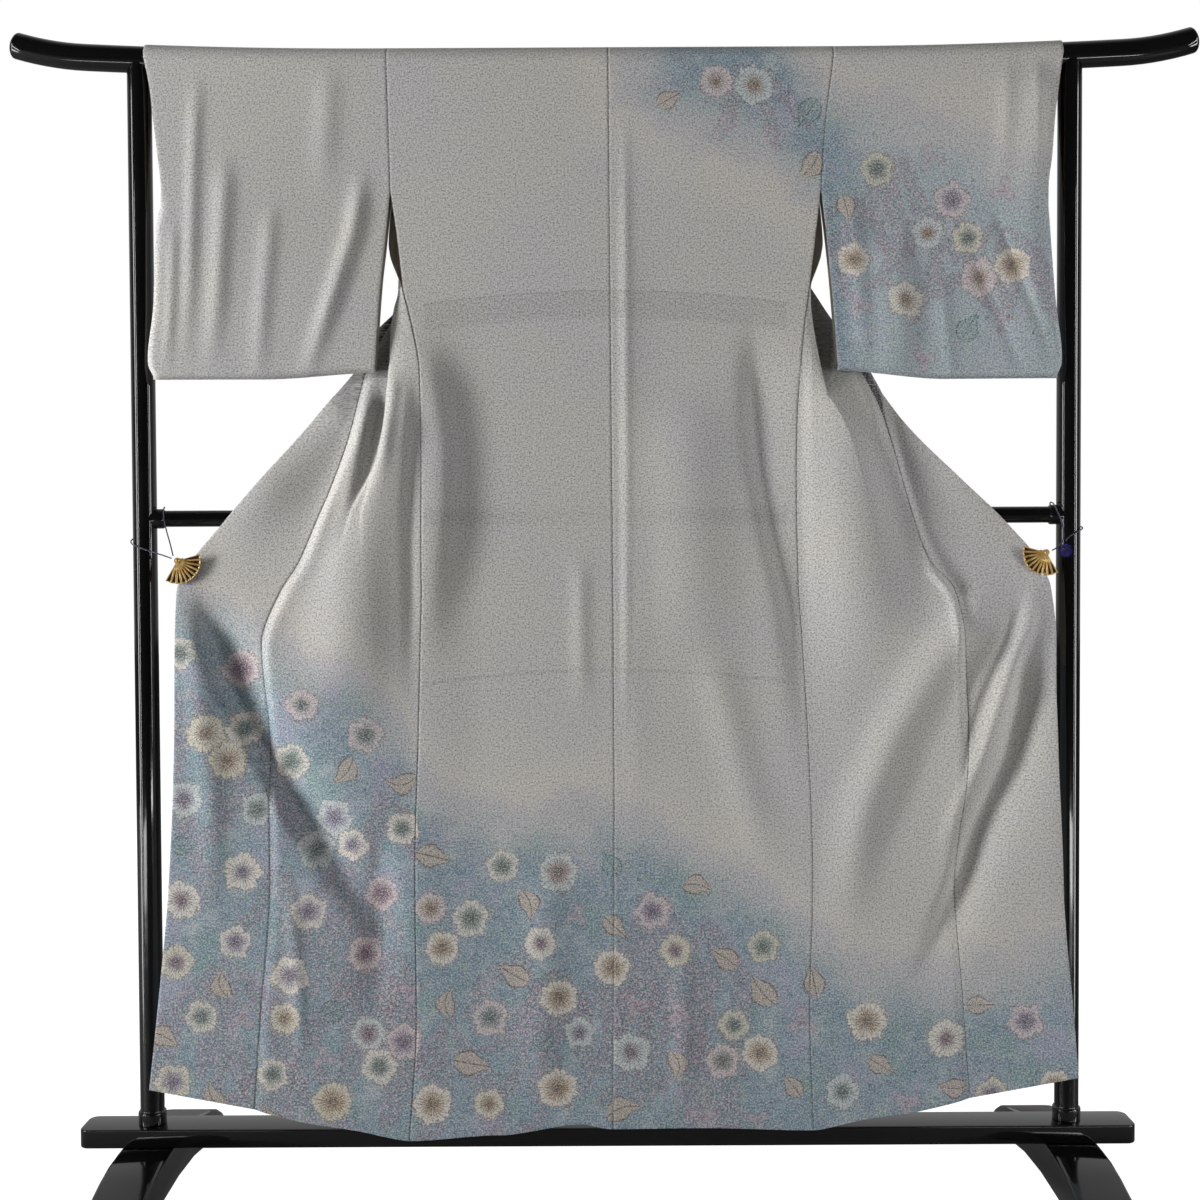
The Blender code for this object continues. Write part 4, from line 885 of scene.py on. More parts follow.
# %% Measure the depth inside the dye
Shore = namedtuple("Shore", "x height")
HEM_SHORE = table(
    Shore,
    (-0.7, 0.96), (-0.628, 0.922), (-0.565, 0.878), (-0.504, 0.834), (-0.449, 0.805), (-0.347, 0.76),
    (-0.304, 0.7), (-0.275, 0.63), (-0.232, 0.58), (-0.158, 0.566), (-0.071, 0.571), (0.0, 0.572),
    (0.076, 0.545), (0.134, 0.516), (0.193, 0.478), (0.251, 0.441), (0.298, 0.385), (0.354, 0.352),
    (0.427, 0.337), (0.508, 0.338), (0.574, 0.351), (0.633, 0.366), (0.7, 0.385),
)
SLEEVE_SHORE = table(
    Shore,
    (0.3, 1.64), (0.371, 1.6), (0.487, 1.578), (0.574, 1.534), (0.647, 1.505), (0.7, 1.48),
)
SHOULDER_SHORE = table(
    Shore,
    (0.04, 1.67), (0.08, 1.612), (0.138, 1.597), (0.197, 1.585), (0.255, 1.544), (0.335, 1.488),
)
SHOULDER_START = 0.058
SHOULDER_UPPER = table(
    Shore,
    (0.24, 1.76), (0.29, 1.66), (0.335, 1.61),
)
NO_DYE = -0.5


def shore_height(shore, x):
    return np.interp(x, [row.x for row in shore], [row.height for row in shore])


def hem_dye(x, height):
    return shore_height(HEM_SHORE, x) - height


def sleeve_dye(x, height):
    return shore_height(SLEEVE_SHORE, x) - height if np.mean(x) > 0.0 else np.full_like(x, NO_DYE)


def shoulder_dye(x, height):
    lower = height - shore_height(SHOULDER_SHORE, x)
    upper = shore_height(SHOULDER_UPPER, x) - height
    return np.minimum(np.minimum(lower, upper), x - SHOULDER_START)


def body_dye(x, height):
    return np.maximum(hem_dye(x, height), shoulder_dye(x, height))


def front_dye(x, height):
    over_the_rod = 2 * ROD_HEIGHT + pi * WRAP_RADIUS - height
    return np.maximum(hem_dye(x, height), shoulder_dye(x, over_the_rod))


left_corner = hem_dye(np.array([-0.6]), np.array([0.2]))[0]
print("dye at the hem's left corner is", round(float(left_corner), 2), "m deep")

# %% [markdown]
# ## The painted flowers
# Blossoms, leaves and trailing sprays are painted over the wet dye, thickest at the left of the hem. They
# are a plain garden pattern, scattered here by chance but always the same chance. A motif is kept as a
# place on the flat cut, a size, a turn and a seed; motifs on one layer never touch, so blossoms that
# overlap lie on two layers.

# %% Scatter the flowers
Motif = namedtuple("Motif", "u v size turn seed")
BLOSSOM_SIZES = (0.026, 0.034)
LEAF_SIZES = (0.020, 0.028)
FACE_REACH = 0.005             # half of the largest face of the cloth
TRIES = 60                     # for each motif
PAINT_SEED, TRAIL_SEED = 41, 12


def far_enough(place, others, gap):
    return all(np.hypot(place[0] - other.u, place[1] - other.v) > gap + other.size for other in others)


def scatter(chance, dye, box, count, sizes, others, gap, depth):
    """Motifs dropped at random inside a dyed zone, none nearer to the others than a gap."""
    motifs = []
    for _ in range(count * TRIES):
        if len(motifs) == count:
            break
        u, v = chance.uniform(box[0], box[1]), chance.uniform(box[2], box[3])
        size = chance.uniform(*sizes)
        inside = float(dye(np.array([u]), np.array([v]))[0])
        if inside > depth and far_enough((u, v), list(others) + motifs, size + gap):
            motifs.append(Motif(u, v, size, chance.uniform(0.0, 2 * pi), chance.uniform()))
    return motifs


def in_layers(motifs, count):
    """Shares the motifs out among layers, so that those on one layer stay apart."""
    layers = [[] for _ in range(count)]
    for motif in motifs:
        for layer in layers:
            if far_enough((motif.u, motif.v), layer, motif.size + 2 * FACE_REACH):
                layer.append(motif)
                break
    return layers


HEM_CLUMPS = ((-0.560, 0.700), (-0.400, 0.560), (-0.470, 0.330), (-0.235, 0.430), (-0.060, 0.300),
              (0.080, 0.420), (0.190, 0.250), (-0.330, 0.250))
SLEEVE_CLUMPS = ((0.500, 1.455), (0.560, 1.400))
SHOULDER_CLUMP = (0.190, 1.655)
SLEEVE_SPRAYS = ((0.42, 1.56), (0.50, 1.48), (0.58, 1.46), (0.36, 1.50))
CLUMP_SPREAD = (0.026, 0.036)


def clump(chance, centre, count):
    """A few blossoms whose rims overlap round one centre."""
    motifs = []
    turn = chance.uniform(0.0, 2 * pi)
    for k in range(count):
        angle, away = turn + k * 2 * pi / count, chance.uniform(*CLUMP_SPREAD)
        place = (centre[0] + away * cos(angle), centre[1] + away * sin(angle))
        size = chance.uniform(*BLOSSOM_SIZES)
        motifs.append(Motif(*place, size, chance.uniform(0.0, 2 * pi), chance.uniform()))
    return motifs


def paint_plan():
    chance = np.random.default_rng(PAINT_SEED)
    blossoms = []
    for centre in HEM_CLUMPS:
        blossoms += clump(chance, centre, int(chance.integers(2, 4)))
    for centre in SLEEVE_CLUMPS:
        blossoms += clump(chance, centre, 3)
    blossoms += clump(chance, SHOULDER_CLUMP, 2)
    for dye, box, count, gap in (
        (hem_dye, (-0.66, 0.05, 0.15, 0.88), 30, 0.020),
        (hem_dye, (0.00, 0.66, 0.17, 0.50), 9, 0.034),
        (sleeve_dye, (0.36, 0.62, 1.28, 1.56), 3, 0.030),
    ):
        blossoms += scatter(chance, dye, box, count, BLOSSOM_SIZES, blossoms, gap, 0.05)
    leaves = []
    for dye, box, count, gap, depth in (
        (hem_dye, (-0.66, 0.66, 0.14, 0.88), 38, 0.006, 0.03),
        (sleeve_dye, (0.35, 0.63, 1.26, 1.58), 6, 0.006, 0.03),
        (shoulder_dye, (0.08, 0.31, 1.52, 1.70), 3, 0.004, 0.02),
    ):
        leaves += scatter(chance, dye, box, count, LEAF_SIZES, blossoms, gap, depth)
    return blossoms, leaves


def trail_plan():
    """Sprays that trail from points near the clumps: each has its top, its length as size, and its lean."""
    chance = np.random.default_rng(TRAIL_SEED)
    layers = ([], [])
    for k, (u, v) in enumerate(HEM_CLUMPS * 3):
        place = (u + chance.uniform(-0.13, 0.13), v + chance.uniform(-0.04, 0.09))
        if hem_dye(np.array([place[0]]), np.array([place[1]]))[0] > 0.01:
            for lean in (-0.55, -0.10, 0.35):
                length = chance.uniform(0.12, 0.26)
                turn = lean + chance.uniform(-0.2, 0.2)
                layers[k % 2].append(Motif(*place, length, turn, chance.uniform()))
    for place in SLEEVE_SPRAYS:
        for lean in (-0.6, -0.1, 0.4):
            length = chance.uniform(0.12, 0.20)
            turn = lean + chance.uniform(-0.2, 0.2)
            layers[1].append(Motif(*place, length, turn, chance.uniform()))
    for lean in (-0.3, 0.4, 0.8):
        layers[0].append(Motif(0.20, 1.69, 0.15, lean, 0.4))
    return layers


BLOSSOMS, LEAVES = paint_plan()
BLOSSOM_LAYERS = in_layers(BLOSSOMS, 3)
TRAIL_LAYERS = trail_plan()
print(len(BLOSSOMS), "blossoms,", len(LEAVES), "leaves,", sum(map(len, TRAIL_LAYERS)), "sprays")

# %% [markdown]
# ## From the flat cut to the cloth
# Every strip starts as a flat grid. Its points are moved to where the cloth hangs, and each face keeps its
# place on the flat cut as a UV map. A face near a motif also keeps its place inside that motif, so the
# brush strokes can be drawn by the recipe at any fineness.

# %% Weave the strips
TRAIL_HALF_WIDTH = 0.22        # as a share of a spray's length
MERGE_DISTANCE = 2e-5
RIM_WEIGHT = 95                # how strongly large faces outweigh the thin rim in the shading


def motif_places(flat, motifs, drop):
    """For each corner of a face: its place inside the motif that covers it, the seed, and a one."""
    corners = flat.reshape(-1, 4, 2)
    middles = corners.mean(axis=1)
    values = np.zeros((len(corners), 4, 4))
    values[:, :, :2] = FAR_AWAY
    best = np.full(len(corners), FAR_AWAY)
    for motif in motifs:
        turn = np.array(((cos(motif.turn), sin(motif.turn)), (-sin(motif.turn), cos(motif.turn))))
        own = (corners - (motif.u, motif.v)) @ turn.T / motif.size
        centre = (middles - (motif.u, motif.v)) @ turn.T / motif.size
        reach = FACE_REACH / motif.size
        if drop:
            away = abs(centre[:, 0]) / TRAIL_HALF_WIDTH
            near = (away < 1.0 + reach / TRAIL_HALF_WIDTH) & (abs(centre[:, 1] + 0.5) < 0.5 + reach)
        else:
            away = np.hypot(centre[:, 0], centre[:, 1])
            near = away < 1.05 + reach
        near &= away < best
        best[near] = away[near]
        values[near, :, :2] = own[near]
        values[near, :, 2] = motif.seed
        values[near, :, 3] = 1.0
    return values


def keep_points(mesh, name, values):
    mesh.attributes.new(name, "FLOAT", "POINT").data.foreach_set("value", values.astype(np.float32))


def weave(name, columns, rows, layout, dye, turned):
    """A strip: a flat grid, laid out where it hangs, with its cut, dye, seams and motifs kept on it."""
    bm = bmesh.new()
    bmesh.ops.create_grid(bm, x_segments=columns, y_segments=rows, size=0.5)
    if turned:
        bmesh.ops.reverse_faces(bm, faces=bm.faces)
    mesh = bpy.data.meshes.new(name)
    bm.to_mesh(mesh)
    bm.free()
    grid = np.empty(len(mesh.vertices) * 3, dtype=np.float32)
    mesh.vertices.foreach_get("co", grid)
    grid = grid.reshape(-1, 3).astype(float)
    across = np.round((grid[:, 0] + 0.5) * columns) / columns
    along = np.round((grid[:, 1] + 0.5) * rows) / rows
    lay = layout(across, along)
    mesh.vertices.foreach_set("co", np.column_stack((lay.x, lay.y, lay.z)).ravel())
    keep_points(mesh, "dye", dye(lay.x, lay.z))
    keep_points(mesh, "seam", lay.seam)
    loops = np.empty(len(mesh.loops), dtype=np.int32)
    mesh.loops.foreach_get("vertex_index", loops)
    flat = np.column_stack((lay.u, lay.v))[loops]
    mesh.uv_layers.new(name="cut").data.foreach_set("uv", flat.ravel())
    wanted = (("blossom_low", BLOSSOM_LAYERS[0], False), ("blossom_middle", BLOSSOM_LAYERS[1], False),
              ("blossom_high", BLOSSOM_LAYERS[2], False), ("leaf", LEAVES, False),
              ("trail_low", TRAIL_LAYERS[0], True), ("trail_high", TRAIL_LAYERS[1], True))
    for layer_name, motifs, drop in wanted:
        layer = mesh.attributes.new(layer_name, "FLOAT_COLOR", "CORNER")
        layer.data.foreach_set("color", motif_places(flat, motifs, drop).ravel())
    return mesh


def close_up(mesh):
    """Merges the points that meet where a strip has come round to itself."""
    bm = bmesh.new()
    bm.from_mesh(mesh)
    bmesh.ops.remove_doubles(bm, verts=bm.verts, dist=MERGE_DISTANCE)
    bm.to_mesh(mesh)
    bm.free()


def hang(mesh, finishes, wall=SILK_WALL):
    """The strip as a piece: silk on its face, lining on its back, smooth but not shaded round at its rim."""
    for finish in finishes:
        mesh.materials.append(finish)
    piece = bpy.data.objects.new(mesh.name, mesh)
    bpy.context.scene.collection.objects.link(piece)
    mesh.shade_smooth()
    thicken = piece.modifiers.new("wall", "SOLIDIFY")
    thicken.thickness = wall
    thicken.offset = 0.0
    thicken.material_offset = 1
    thicken.material_offset_rim = 1
    even = piece.modifiers.new("flat_to_the_edge", "WEIGHTED_NORMAL")
    even.weight = RIM_WEIGHT
    return piece


print("strips keep: cut, dye, seam, blossoms, leaves, trails")

# %% [markdown]
# ## Dyed crepe silk
# Crepe is woven with hard-twisted thread, which leaves a fine pebbled grain that takes the light softly.
# Small woven flecks are scattered over the grey ground. The teal, the sprays, leaves and blossoms come over it
# in the order a painter works, and last the seams and the pressed tuck are darkened with painted shade, beside
# a painted shadow of the rail behind the cloth.

# %% Mix the silk's colours
GROUND = tint(188, 187, 185)
GROUND_COOL, GROUND_WARM, GROUND_PALE = tint(182, 183, 187), tint(190, 188, 181), tint(206, 202, 193)
FLECK_LIGHT, FLECK_DARK = tint(222, 220, 216), tint(112, 116, 128)
TEAL, TEAL_DEEP, TEAL_PALE = tint(130, 155, 170), tint(101, 131, 150), tint(168, 180, 187)
TEAL_GREEN, LILAC = tint(104, 143, 146), tint(154, 154, 180)
MAUVE, ROSE, PALE_ROSE = tint(140, 128, 152), tint(156, 122, 140), tint(184, 174, 186)
CREAM, PEACH, INK = tint(226, 220, 209), tint(194, 178, 162), tint(62, 60, 66)
STRAW, SHELL, MIST = tint(214, 208, 188), tint(209, 195, 197), tint(198, 206, 207)
HEART_COLOURS = (tint(140, 76, 112), tint(184, 144, 84), tint(84, 122, 112), tint(132, 112, 156))
LEAF_GREEN = tint(62, 104, 108)
SPECK_GREEN = tint(150, 172, 128)
FLECKS_A_METRE, SPECKS_A_METRE, DABS_A_METRE = 21.0, 46.0, 260.0
LOBES, PETALS, RAYS, TICKS = 5, 19, 26, 38
LEAF_VEINS = 6.5
TUCK_TOP, TUCK_FOOT = 1.3555, 1.316
TUCK_BOW = 0.27                # how much the tuck sinks towards the sides
BACK_HALF_WIDTH = 0.265
SKIRT_LINING_TOP = 0.802
print("tints in the hearts:", len(HEART_COLOURS))

# %% [markdown]
# ## Blossoms
# Each blossom is drawn in its own place: its distance from the heart and its angle give the petals, the
# scalloped rim and the inked lines. Its seed picks the tint of the heart and of the petals.

# %% Draw a blossom


def blossom_steps(make, colour, layer_name):
    """A full round blossom of narrow petals in five lobes, with inked ticks, rays and a coloured heart."""
    layer = make.attribute(layer_name)
    x, y, seed = make.parts(layer["Vector"])
    radius = make.calc("SQRT", x * x + y * y)
    angle = make.calc("ARCTAN2", y, x) / (2 * pi)

    def comb(teeth):
        """Nought on each tooth round the blossom, one half between two teeth."""
        return abs(make.calc("FRACT", angle * float(teeth) + (teeth + 0.5)) - 0.5)

    lobe = (comb(LOBES) * 2.0) ** 2.4 * make.fade(seed, 0.0, 1.0, 0.07, 0.16)
    scallop = (comb(PETALS) * 2.0) ** 3.0 * 0.03
    waver = make.fade(make.noise(layer["Vector"], 3.4, 4.0, 0.6), 0.25, 0.75, -0.15, 0.15)
    rim = 0.93 - (lobe + scallop) + waver
    share = radius / rim
    inside = make.fade(share, 1.03, 0.97) * layer["Alpha"]

    low = make.pick(seed, HEART_COLOURS[0], (0.22, HEART_COLOURS[1]))
    high = make.pick(seed, HEART_COLOURS[2], (0.76, HEART_COLOURS[3]))
    heart = make.pick(seed, low, (0.50, high))
    reach = make.fade(make.calc("FRACT", seed * 7.0), 0.0, 1.0, 0.55, 0.92)
    chance = make.calc("FRACT", seed * 13.0)
    petals = make.pick(chance, CREAM, (0.38, STRAW), (0.60, SHELL), (0.82, MIST))
    worn = make.fade(make.noise(layer["Vector"], 5.0, 3.0), 0.45, 0.75, 0.0, 0.35)
    petals = make.blend(worn, petals, colour)
    fill = make.blend(make.fade(share / reach, 1.0, 0.15, 0.0, 0.92), petals, heart)

    petal_line = make.fade((0.5 - comb(PETALS)) * share, 0.09, 0.02)
    petal_line = petal_line * make.fade(share, 0.45, 0.80, 0.0, 0.75)
    ray = make.fade(comb(RAYS) * share, 0.15, 0.05) * make.fade(share, 0.76, 0.48)
    tick = make.fade(comb(TICKS), 0.22, 0.08) * make.fade(share, 0.80, 0.93)
    rim_line = make.hump(share, 0.955, 0.060)
    core = make.fade(share, 0.12, 0.05)
    ink = make.most(ray * 0.85, tick * 0.70, rim_line, petal_line, core)
    return make.blend(inside * 0.86, colour, make.blend(ink * 0.85, fill, INK))


print("petals round a blossom:", PETALS)

# %% [markdown]
# ## Leaves and sprays
# Leaves are filled shapes with a rib and veins. The sprays are made of small cells that count only inside a
# narrow swaying band.

# %% Draw leaves and sprays


def leaf_steps(make, colour):
    """Broad pointed leaves with side veins, some peach and some only outlined, and small rose clusters."""
    layer = make.attribute("leaf")
    x, y, seed = make.parts(layer["Vector"])
    bend = (1.0 - x * x) * make.fade(seed, 0.70, 0.95, 0.0, 0.50)
    away = abs(y - bend)
    taper = make.most(1.0 - abs(x) * 1.03, 0.0) ** 0.50
    half = taper * make.fade(x, 1.0, -0.9, 0.40, 0.98)
    share = away / make.most(half, 0.01)
    inside = make.fade(share, 1.05, 0.95) * layer["Alpha"]
    vein = make.hump(make.calc("FRACT", (x - away * 0.8) * LEAF_VEINS + 9.0), 0.5, 0.18)
    ink = make.most(make.fade(away, 0.05, 0.015), vein * 0.75, make.hump(share, 0.92, 0.20))
    filled = make.fade(seed, 0.44, 0.48)
    leafy = make.fade(seed, 0.20, 0.22)
    cover = inside * leafy * make.fade(filled, 0.0, 1.0, 0.35, 0.72)
    colour = make.blend(cover, colour, make.blend(filled, TEAL_GREEN, PEACH))
    colour = make.blend(ink * inside * leafy * 0.85, colour, make.blend(filled, LEAF_GREEN, INK))

    lobes = make.fade(make.calc("COSINE", make.calc("ARCTAN2", y, x) * 3.0), -1.0, 1.0, 0.38, 0.95)
    share = make.calc("SQRT", x * x + y * y) / lobes
    posy = make.fade(share, 1.0, 0.85) * layer["Alpha"] * (1.0 - leafy)
    return make.blend(posy * 0.55, colour, make.blend(make.hump(share, 0.55, 0.35), ROSE, PALE_ROSE))


def trail_steps(make, colour, dabs, layer_name):
    """A trailing spray: strings of small inked petals in mauve and rose that sway as they hang."""
    layer = make.attribute(layer_name)
    x, y, seed = make.parts(layer["Vector"])
    down = y * -1.0
    middle = make.calc("SINE", down * 8.0 + seed * 40.0) * 0.035
    half = make.fade(down, 0.0, 0.50, 0.035, 0.090) * make.fade(down, 1.02, 0.70, 0.30, 1.0)
    inside = make.fade(abs(x - middle) / half, 1.30, 0.60) * layer["Alpha"]
    inside = inside * (make.fade(down, 0.0, 0.10) * make.fade(down, 1.0, 0.90))
    red, green, blue = make.parts(dabs["Color"])
    hue = make.blend(make.fade(green, 0.42, 0.48), MAUVE, ROSE)
    hue = make.blend(make.fade(green, 0.66, 0.72), hue, PALE_ROSE)
    hue = make.blend(make.fade(blue, 0.80, 0.86), hue, TEAL_GREEN)
    kept = make.fade(inside - red, -0.10, 0.10)
    petal = make.fade(dabs["Distance"], 0.62, 0.40)
    edge = make.fade(dabs["Distance"], 0.36, 0.60)
    colour = make.blend(kept * petal * 0.64, colour, hue)
    return make.blend(kept * edge * 0.28, colour, INK)


print("veins a leaf's half-length:", LEAF_VEINS)

# %% [markdown]
# ## Ground, wash, sewing lines and painted shade
# The ground's woven flecks lie under everything. The wash is cloudy, as a wet dye is, and the lines of the
# sewing are pressed in last, with painted shade at the seams and the tuck and a painted shadow of the rail.

# %% Draw the ground, the wash, the sewing lines and the painted shade


def fleck_steps(make, colour, cut):
    """Small woven flecks, each a body between two slanting wings, some light and some dark."""
    flecks = make.cells(cut, FLECKS_A_METRE, 0.80)
    spread = (FLECKS_A_METRE, FLECKS_A_METRE, 0.0)
    place = make.add("ShaderNodeVectorMath", {0: cut, 1: spread}, operation="MULTIPLY")[0]
    own = make.add("ShaderNodeVectorMath", {0: place, 1: flecks["Position"]}, operation="SUBTRACT")[0]
    x, y, _ = make.parts(own)
    wing = abs(x)
    wings = make.fade(wing, 0.12, 0.09) * make.fade(abs(y - wing * 0.60), 0.060, 0.03)
    body = make.fade(wing, 0.030, 0.015) * make.fade(abs(y), 0.09, 0.06)
    red, green, _ = make.parts(flecks["Color"])
    fleck_colour = make.blend(make.fade(red, 0.40, 0.50), FLECK_LIGHT, FLECK_DARK)
    cover = make.most(wings, body) * make.fade(green, 0.0, 1.0, 0.15, 0.70)
    return make.blend(cover, colour, fleck_colour)


def dye_steps(make, colour, cut, depth, mottle):
    """The teal wash: cloudy, paler on the sleeves, with a lilac shore and small round specks."""
    u, v, _ = make.parts(cut)
    wet = make.fade(depth, -0.050, 0.070)
    rinse = make.noise(cut, 13.0, 3.0, 0.6)
    teal = make.blend(make.fade(mottle, 0.35, 0.65), TEAL_DEEP, TEAL)
    teal = make.blend(make.fade(make.noise(cut, 24.0, 3.0, 0.65), 0.48, 0.72, 0.0, 0.75), teal, TEAL_PALE)
    teal = make.blend(make.fade(rinse, 0.52, 0.66, 0.0, 0.60), teal, LILAC)
    teal = make.blend(make.fade(rinse, 0.46, 0.34, 0.0, 0.70), teal, TEAL_GREEN)
    on_sleeve = make.fade(abs(u), 0.330, 0.400) * make.fade(v, 1.20, 1.24)
    teal = make.blend(on_sleeve * 0.65, teal, TEAL_PALE)
    colour = make.blend(make.hump(depth, -0.025, 0.045) * 0.30, colour, LILAC)
    colour = make.blend(wet * 0.94, colour, teal)
    specks = make.cells(cut, SPECKS_A_METRE)
    tone, chosen, _ = make.parts(specks["Color"])
    spot = make.fade(specks["Distance"], 0.15, 0.08) * make.fade(chosen, 0.62, 0.66)
    speck_colour = make.blend(make.fade(tone, 0.45, 0.50), SPECK_GREEN, LEAF_GREEN)
    return make.blend(spot * wet * 0.65, colour, speck_colour)


def sewing_and_shade_steps(make, colour, cut, seam):
    """Painted shade of the pressed tuck and its double layer, the skirt lining's edge, a painted shadow of the
    rail behind, and dark seam lines with painted shade beside them.
    """
    u, v, _ = make.parts(cut)
    level = v + u * u * TUCK_BOW
    on_back = make.fade(abs(u), BACK_HALF_WIDTH + 0.003, BACK_HALF_WIDTH - 0.003)
    # painted shade along the pressed tuck's fold
    tuck = make.hump(level, TUCK_TOP, 0.0016) * on_back
    # painted shade below the fold, where the tuck lies double
    band = make.fade(level, TUCK_TOP, TUCK_TOP - 0.001)
    band = band * make.fade(level, TUCK_FOOT - 0.004, TUCK_FOOT + 0.004)
    lining_edge = make.hump(level, SKIRT_LINING_TOP, 0.0050) * on_back
    # painted shadow of the rail behind the cloth, seen through the silk
    rail = make.hump(v, RAIL_HEIGHT, 0.022) * make.fade(abs(u), 0.02, 0.24, 0.3, 1.0) * on_back
    # dark seam lines, with painted shade beside them
    seam_line_and_shade = make.fade(seam, 0.0016, 0.0004, 0.0, 0.30) + make.fade(seam, 0.0007, 0.0002, 0.0, 0.80)
    dark = tuck * 0.30 + band * on_back * 0.14 + lining_edge * 0.16 + rail * 0.17
    return make.blend(make.most(dark, seam_line_and_shade), colour, INK)


print("flecks a metre:", FLECKS_A_METRE)

# %% [markdown]
# ## The silk and its lining
# The steps come together in the order of the work: ground, wash, sprays and leaves, blossoms, sewing with
# painted shade, and then the pebbled grain. The lining is plain and smoother.

# %% Mix the silk and the lining


def paint_steps(make, colour, cut, depth):
    """The sprays and leaves stay on the dye, the blossoms may reach a little beyond it."""
    dry = colour
    dabs = make.cells(cut, DABS_A_METRE)
    for layer_name in ("trail_low", "trail_high"):
        colour = trail_steps(make, colour, dabs, layer_name)
    colour = leaf_steps(make, colour)
    colour = make.blend(make.fade(depth, -0.030, 0.010), dry, colour)
    undyed = colour
    for layer_name in ("blossom_low", "blossom_middle", "blossom_high"):
        colour = blossom_steps(make, colour, layer_name)
    return make.blend(make.fade(depth, -0.16, -0.10), undyed, colour)


def silk_finish():
    make = new_finish("dyed_crepe_silk")
    cut = make.cut()
    seam = make.attribute("seam")["Fac"]
    cloud, mottle = make.noise(cut, 5.0, 3.0), make.noise(cut, 60.0, 4.0, 0.7)
    depth = make.attribute("dye")["Fac"]
    depth = depth + make.fade(make.noise(cut, 11.0, 2.0, 0.5), 0.25, 0.75, -0.020, 0.020)
    depth = depth + make.fade(mottle, 0.25, 0.75, -0.014, 0.014)
    colour = make.blend(make.fade(cloud, 0.40, 0.62), GROUND_WARM, GROUND_COOL)
    colour = make.blend(0.5, colour, GROUND)
    colour = make.blend(make.fade(depth, -0.16, -0.03, 0.0, 0.55), colour, GROUND_PALE)
    colour = fleck_steps(make, colour, cut)
    colour = dye_steps(make, colour, cut, depth, mottle)
    colour = paint_steps(make, colour, cut, depth)
    colour = sewing_and_shade_steps(make, colour, cut, seam)
    grain = make.fade(make.noise(cut, 380.0, 3.0, 0.8), 0.33, 0.67, -1.0, 1.0)
    colour = make.blend(abs(grain * 0.62), colour, make.blend(make.fade(grain, -0.1, 0.1), INK, CREAM))
    pebble = make.noise(cut, 900.0, 2.0, 0.7) * 0.6 + make.noise(cut, 260.0, 3.0, 0.6) * 0.5
    pucker = make.fade(seam, 0.010, 0.002) * make.noise(cut, 130.0, 2.0)
    return make.finish(Base_Color=colour, Roughness=make.fade(mottle, 0.2, 0.8, 0.58, 0.74),
                       Sheen_Weight=0.18, Sheen_Roughness=0.45, Specular_IOR_Level=0.30,
                       Normal=make.bump(pebble + pucker * 0.35, 0.0010, 0.55))


def lining_finish():
    """Plain smooth lining, ivory above and the colour of mist where the skirt's own lining starts."""
    make = new_finish("lining_silk")
    cut = make.cut()
    _, v, _ = make.parts(cut)
    cloud = make.noise(cut, 9.0, 3.0)
    soft = make.fade(cloud, 0.35, 0.65)
    ivory = make.blend(soft, tint(206, 198, 182), tint(216, 209, 196))
    mist = make.blend(soft, tint(168, 176, 182), tint(180, 186, 188))
    colour = make.blend(make.fade(v, SKIRT_LINING_TOP, SKIRT_LINING_TOP - 0.003), ivory, mist)
    colour = make.blend(make.hump(v, SKIRT_LINING_TOP - 0.0015, 0.0018) * 0.4, colour, INK)
    twill = make.add("ShaderNodeTexWave", {"Vector": cut, "Scale": 260.0, "Distortion": 1.2},
                     bands_direction="DIAGONAL")["Fac"]
    return make.finish(Base_Color=colour, Roughness=make.fade(cloud, 0.3, 0.7, 0.42, 0.52),
                       Sheen_Weight=0.12, Specular_IOR_Level=0.35, Normal=make.bump(twill, 0.0002, 0.5))


SILK, LINING = silk_finish(), lining_finish()
print("silk's steps:", len(SILK.node_tree.nodes))

# %% [markdown]
# ## Back, fronts, overlaps and sleeves
# Two back strips meet in the centre seam. Each other strip is sewn to its neighbour, and all are laid out from
# their tables.

# %% Hang the body
CLOTH_PIECES = []


def dress(node, piece):
    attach(piece, "root")
    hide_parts(node)
    CLOTH_PIECES.append(piece)
    return piece


def cloth(node, columns, rows, layout, dye, turned):
    kind, which = node.split("_")
    strip = weave(kind + "_silk_" + which, columns, rows, layout, dye, turned)
    if kind == "sleeve":
        close_up(strip)
    return dress(node, hang(strip, (SILK, LINING)))


for side, which in SIDES:
    on_left, on_right = side == LEFT, side == RIGHT
    cloth("back_" + which, 72, 250, partial(back_layout, side), body_dye, on_left)
    cloth("front_" + which, 100, 240, partial(front_layout, side), front_dye, on_right)
    cloth("overlap_" + which, 36, 180, partial(overlap_layout, side), front_dye, on_right)
    cloth("sleeve_" + which, 76, 150, partial(sleeve_layout, side), sleeve_dye, on_left)
print("cloth pieces:", [piece.name for piece in CLOTH_PIECES])

# %% [markdown]
# ## The collar
# The collar is one long band folded double round a core. It runs from clip to clip behind the neck.

# %% Sew on the collar
COLLAR_POINTS = 17
COLLAR_CUT_PLACE = 3.0         # clear of the other strips on the flat cut
COLLAR_CUT_STEP = 0.05         # length of the band from one point to the next


def collar_route():
    """Seam line of the collar, from the left clip up over the neck and down to the right clip."""
    def down(side):
        share = CLIP_SHARE * (np.arange(COLLAR_POINTS) + 1.2) / (COLLAR_POINTS + 0.2)
        height = edge_height(side, share)
        out = column(FRONT_ROWS[side], "edge", height)
        depth = column(DEPTHS, "edge", height) + COLLAR_LEAN
        return [Vector(place) for place in zip(side * out, depth, height)]

    corner = NECK_HALF_WIDTH + 0.001
    neck = [Vector((x, WRAP_RADIUS + COLLAR_LEAN, ROD_HEIGHT + 0.004))
            for x in (-corner, -0.045, 0.005, 0.055, corner)]
    return list(reversed(down(LEFT))) + neck + down(RIGHT)


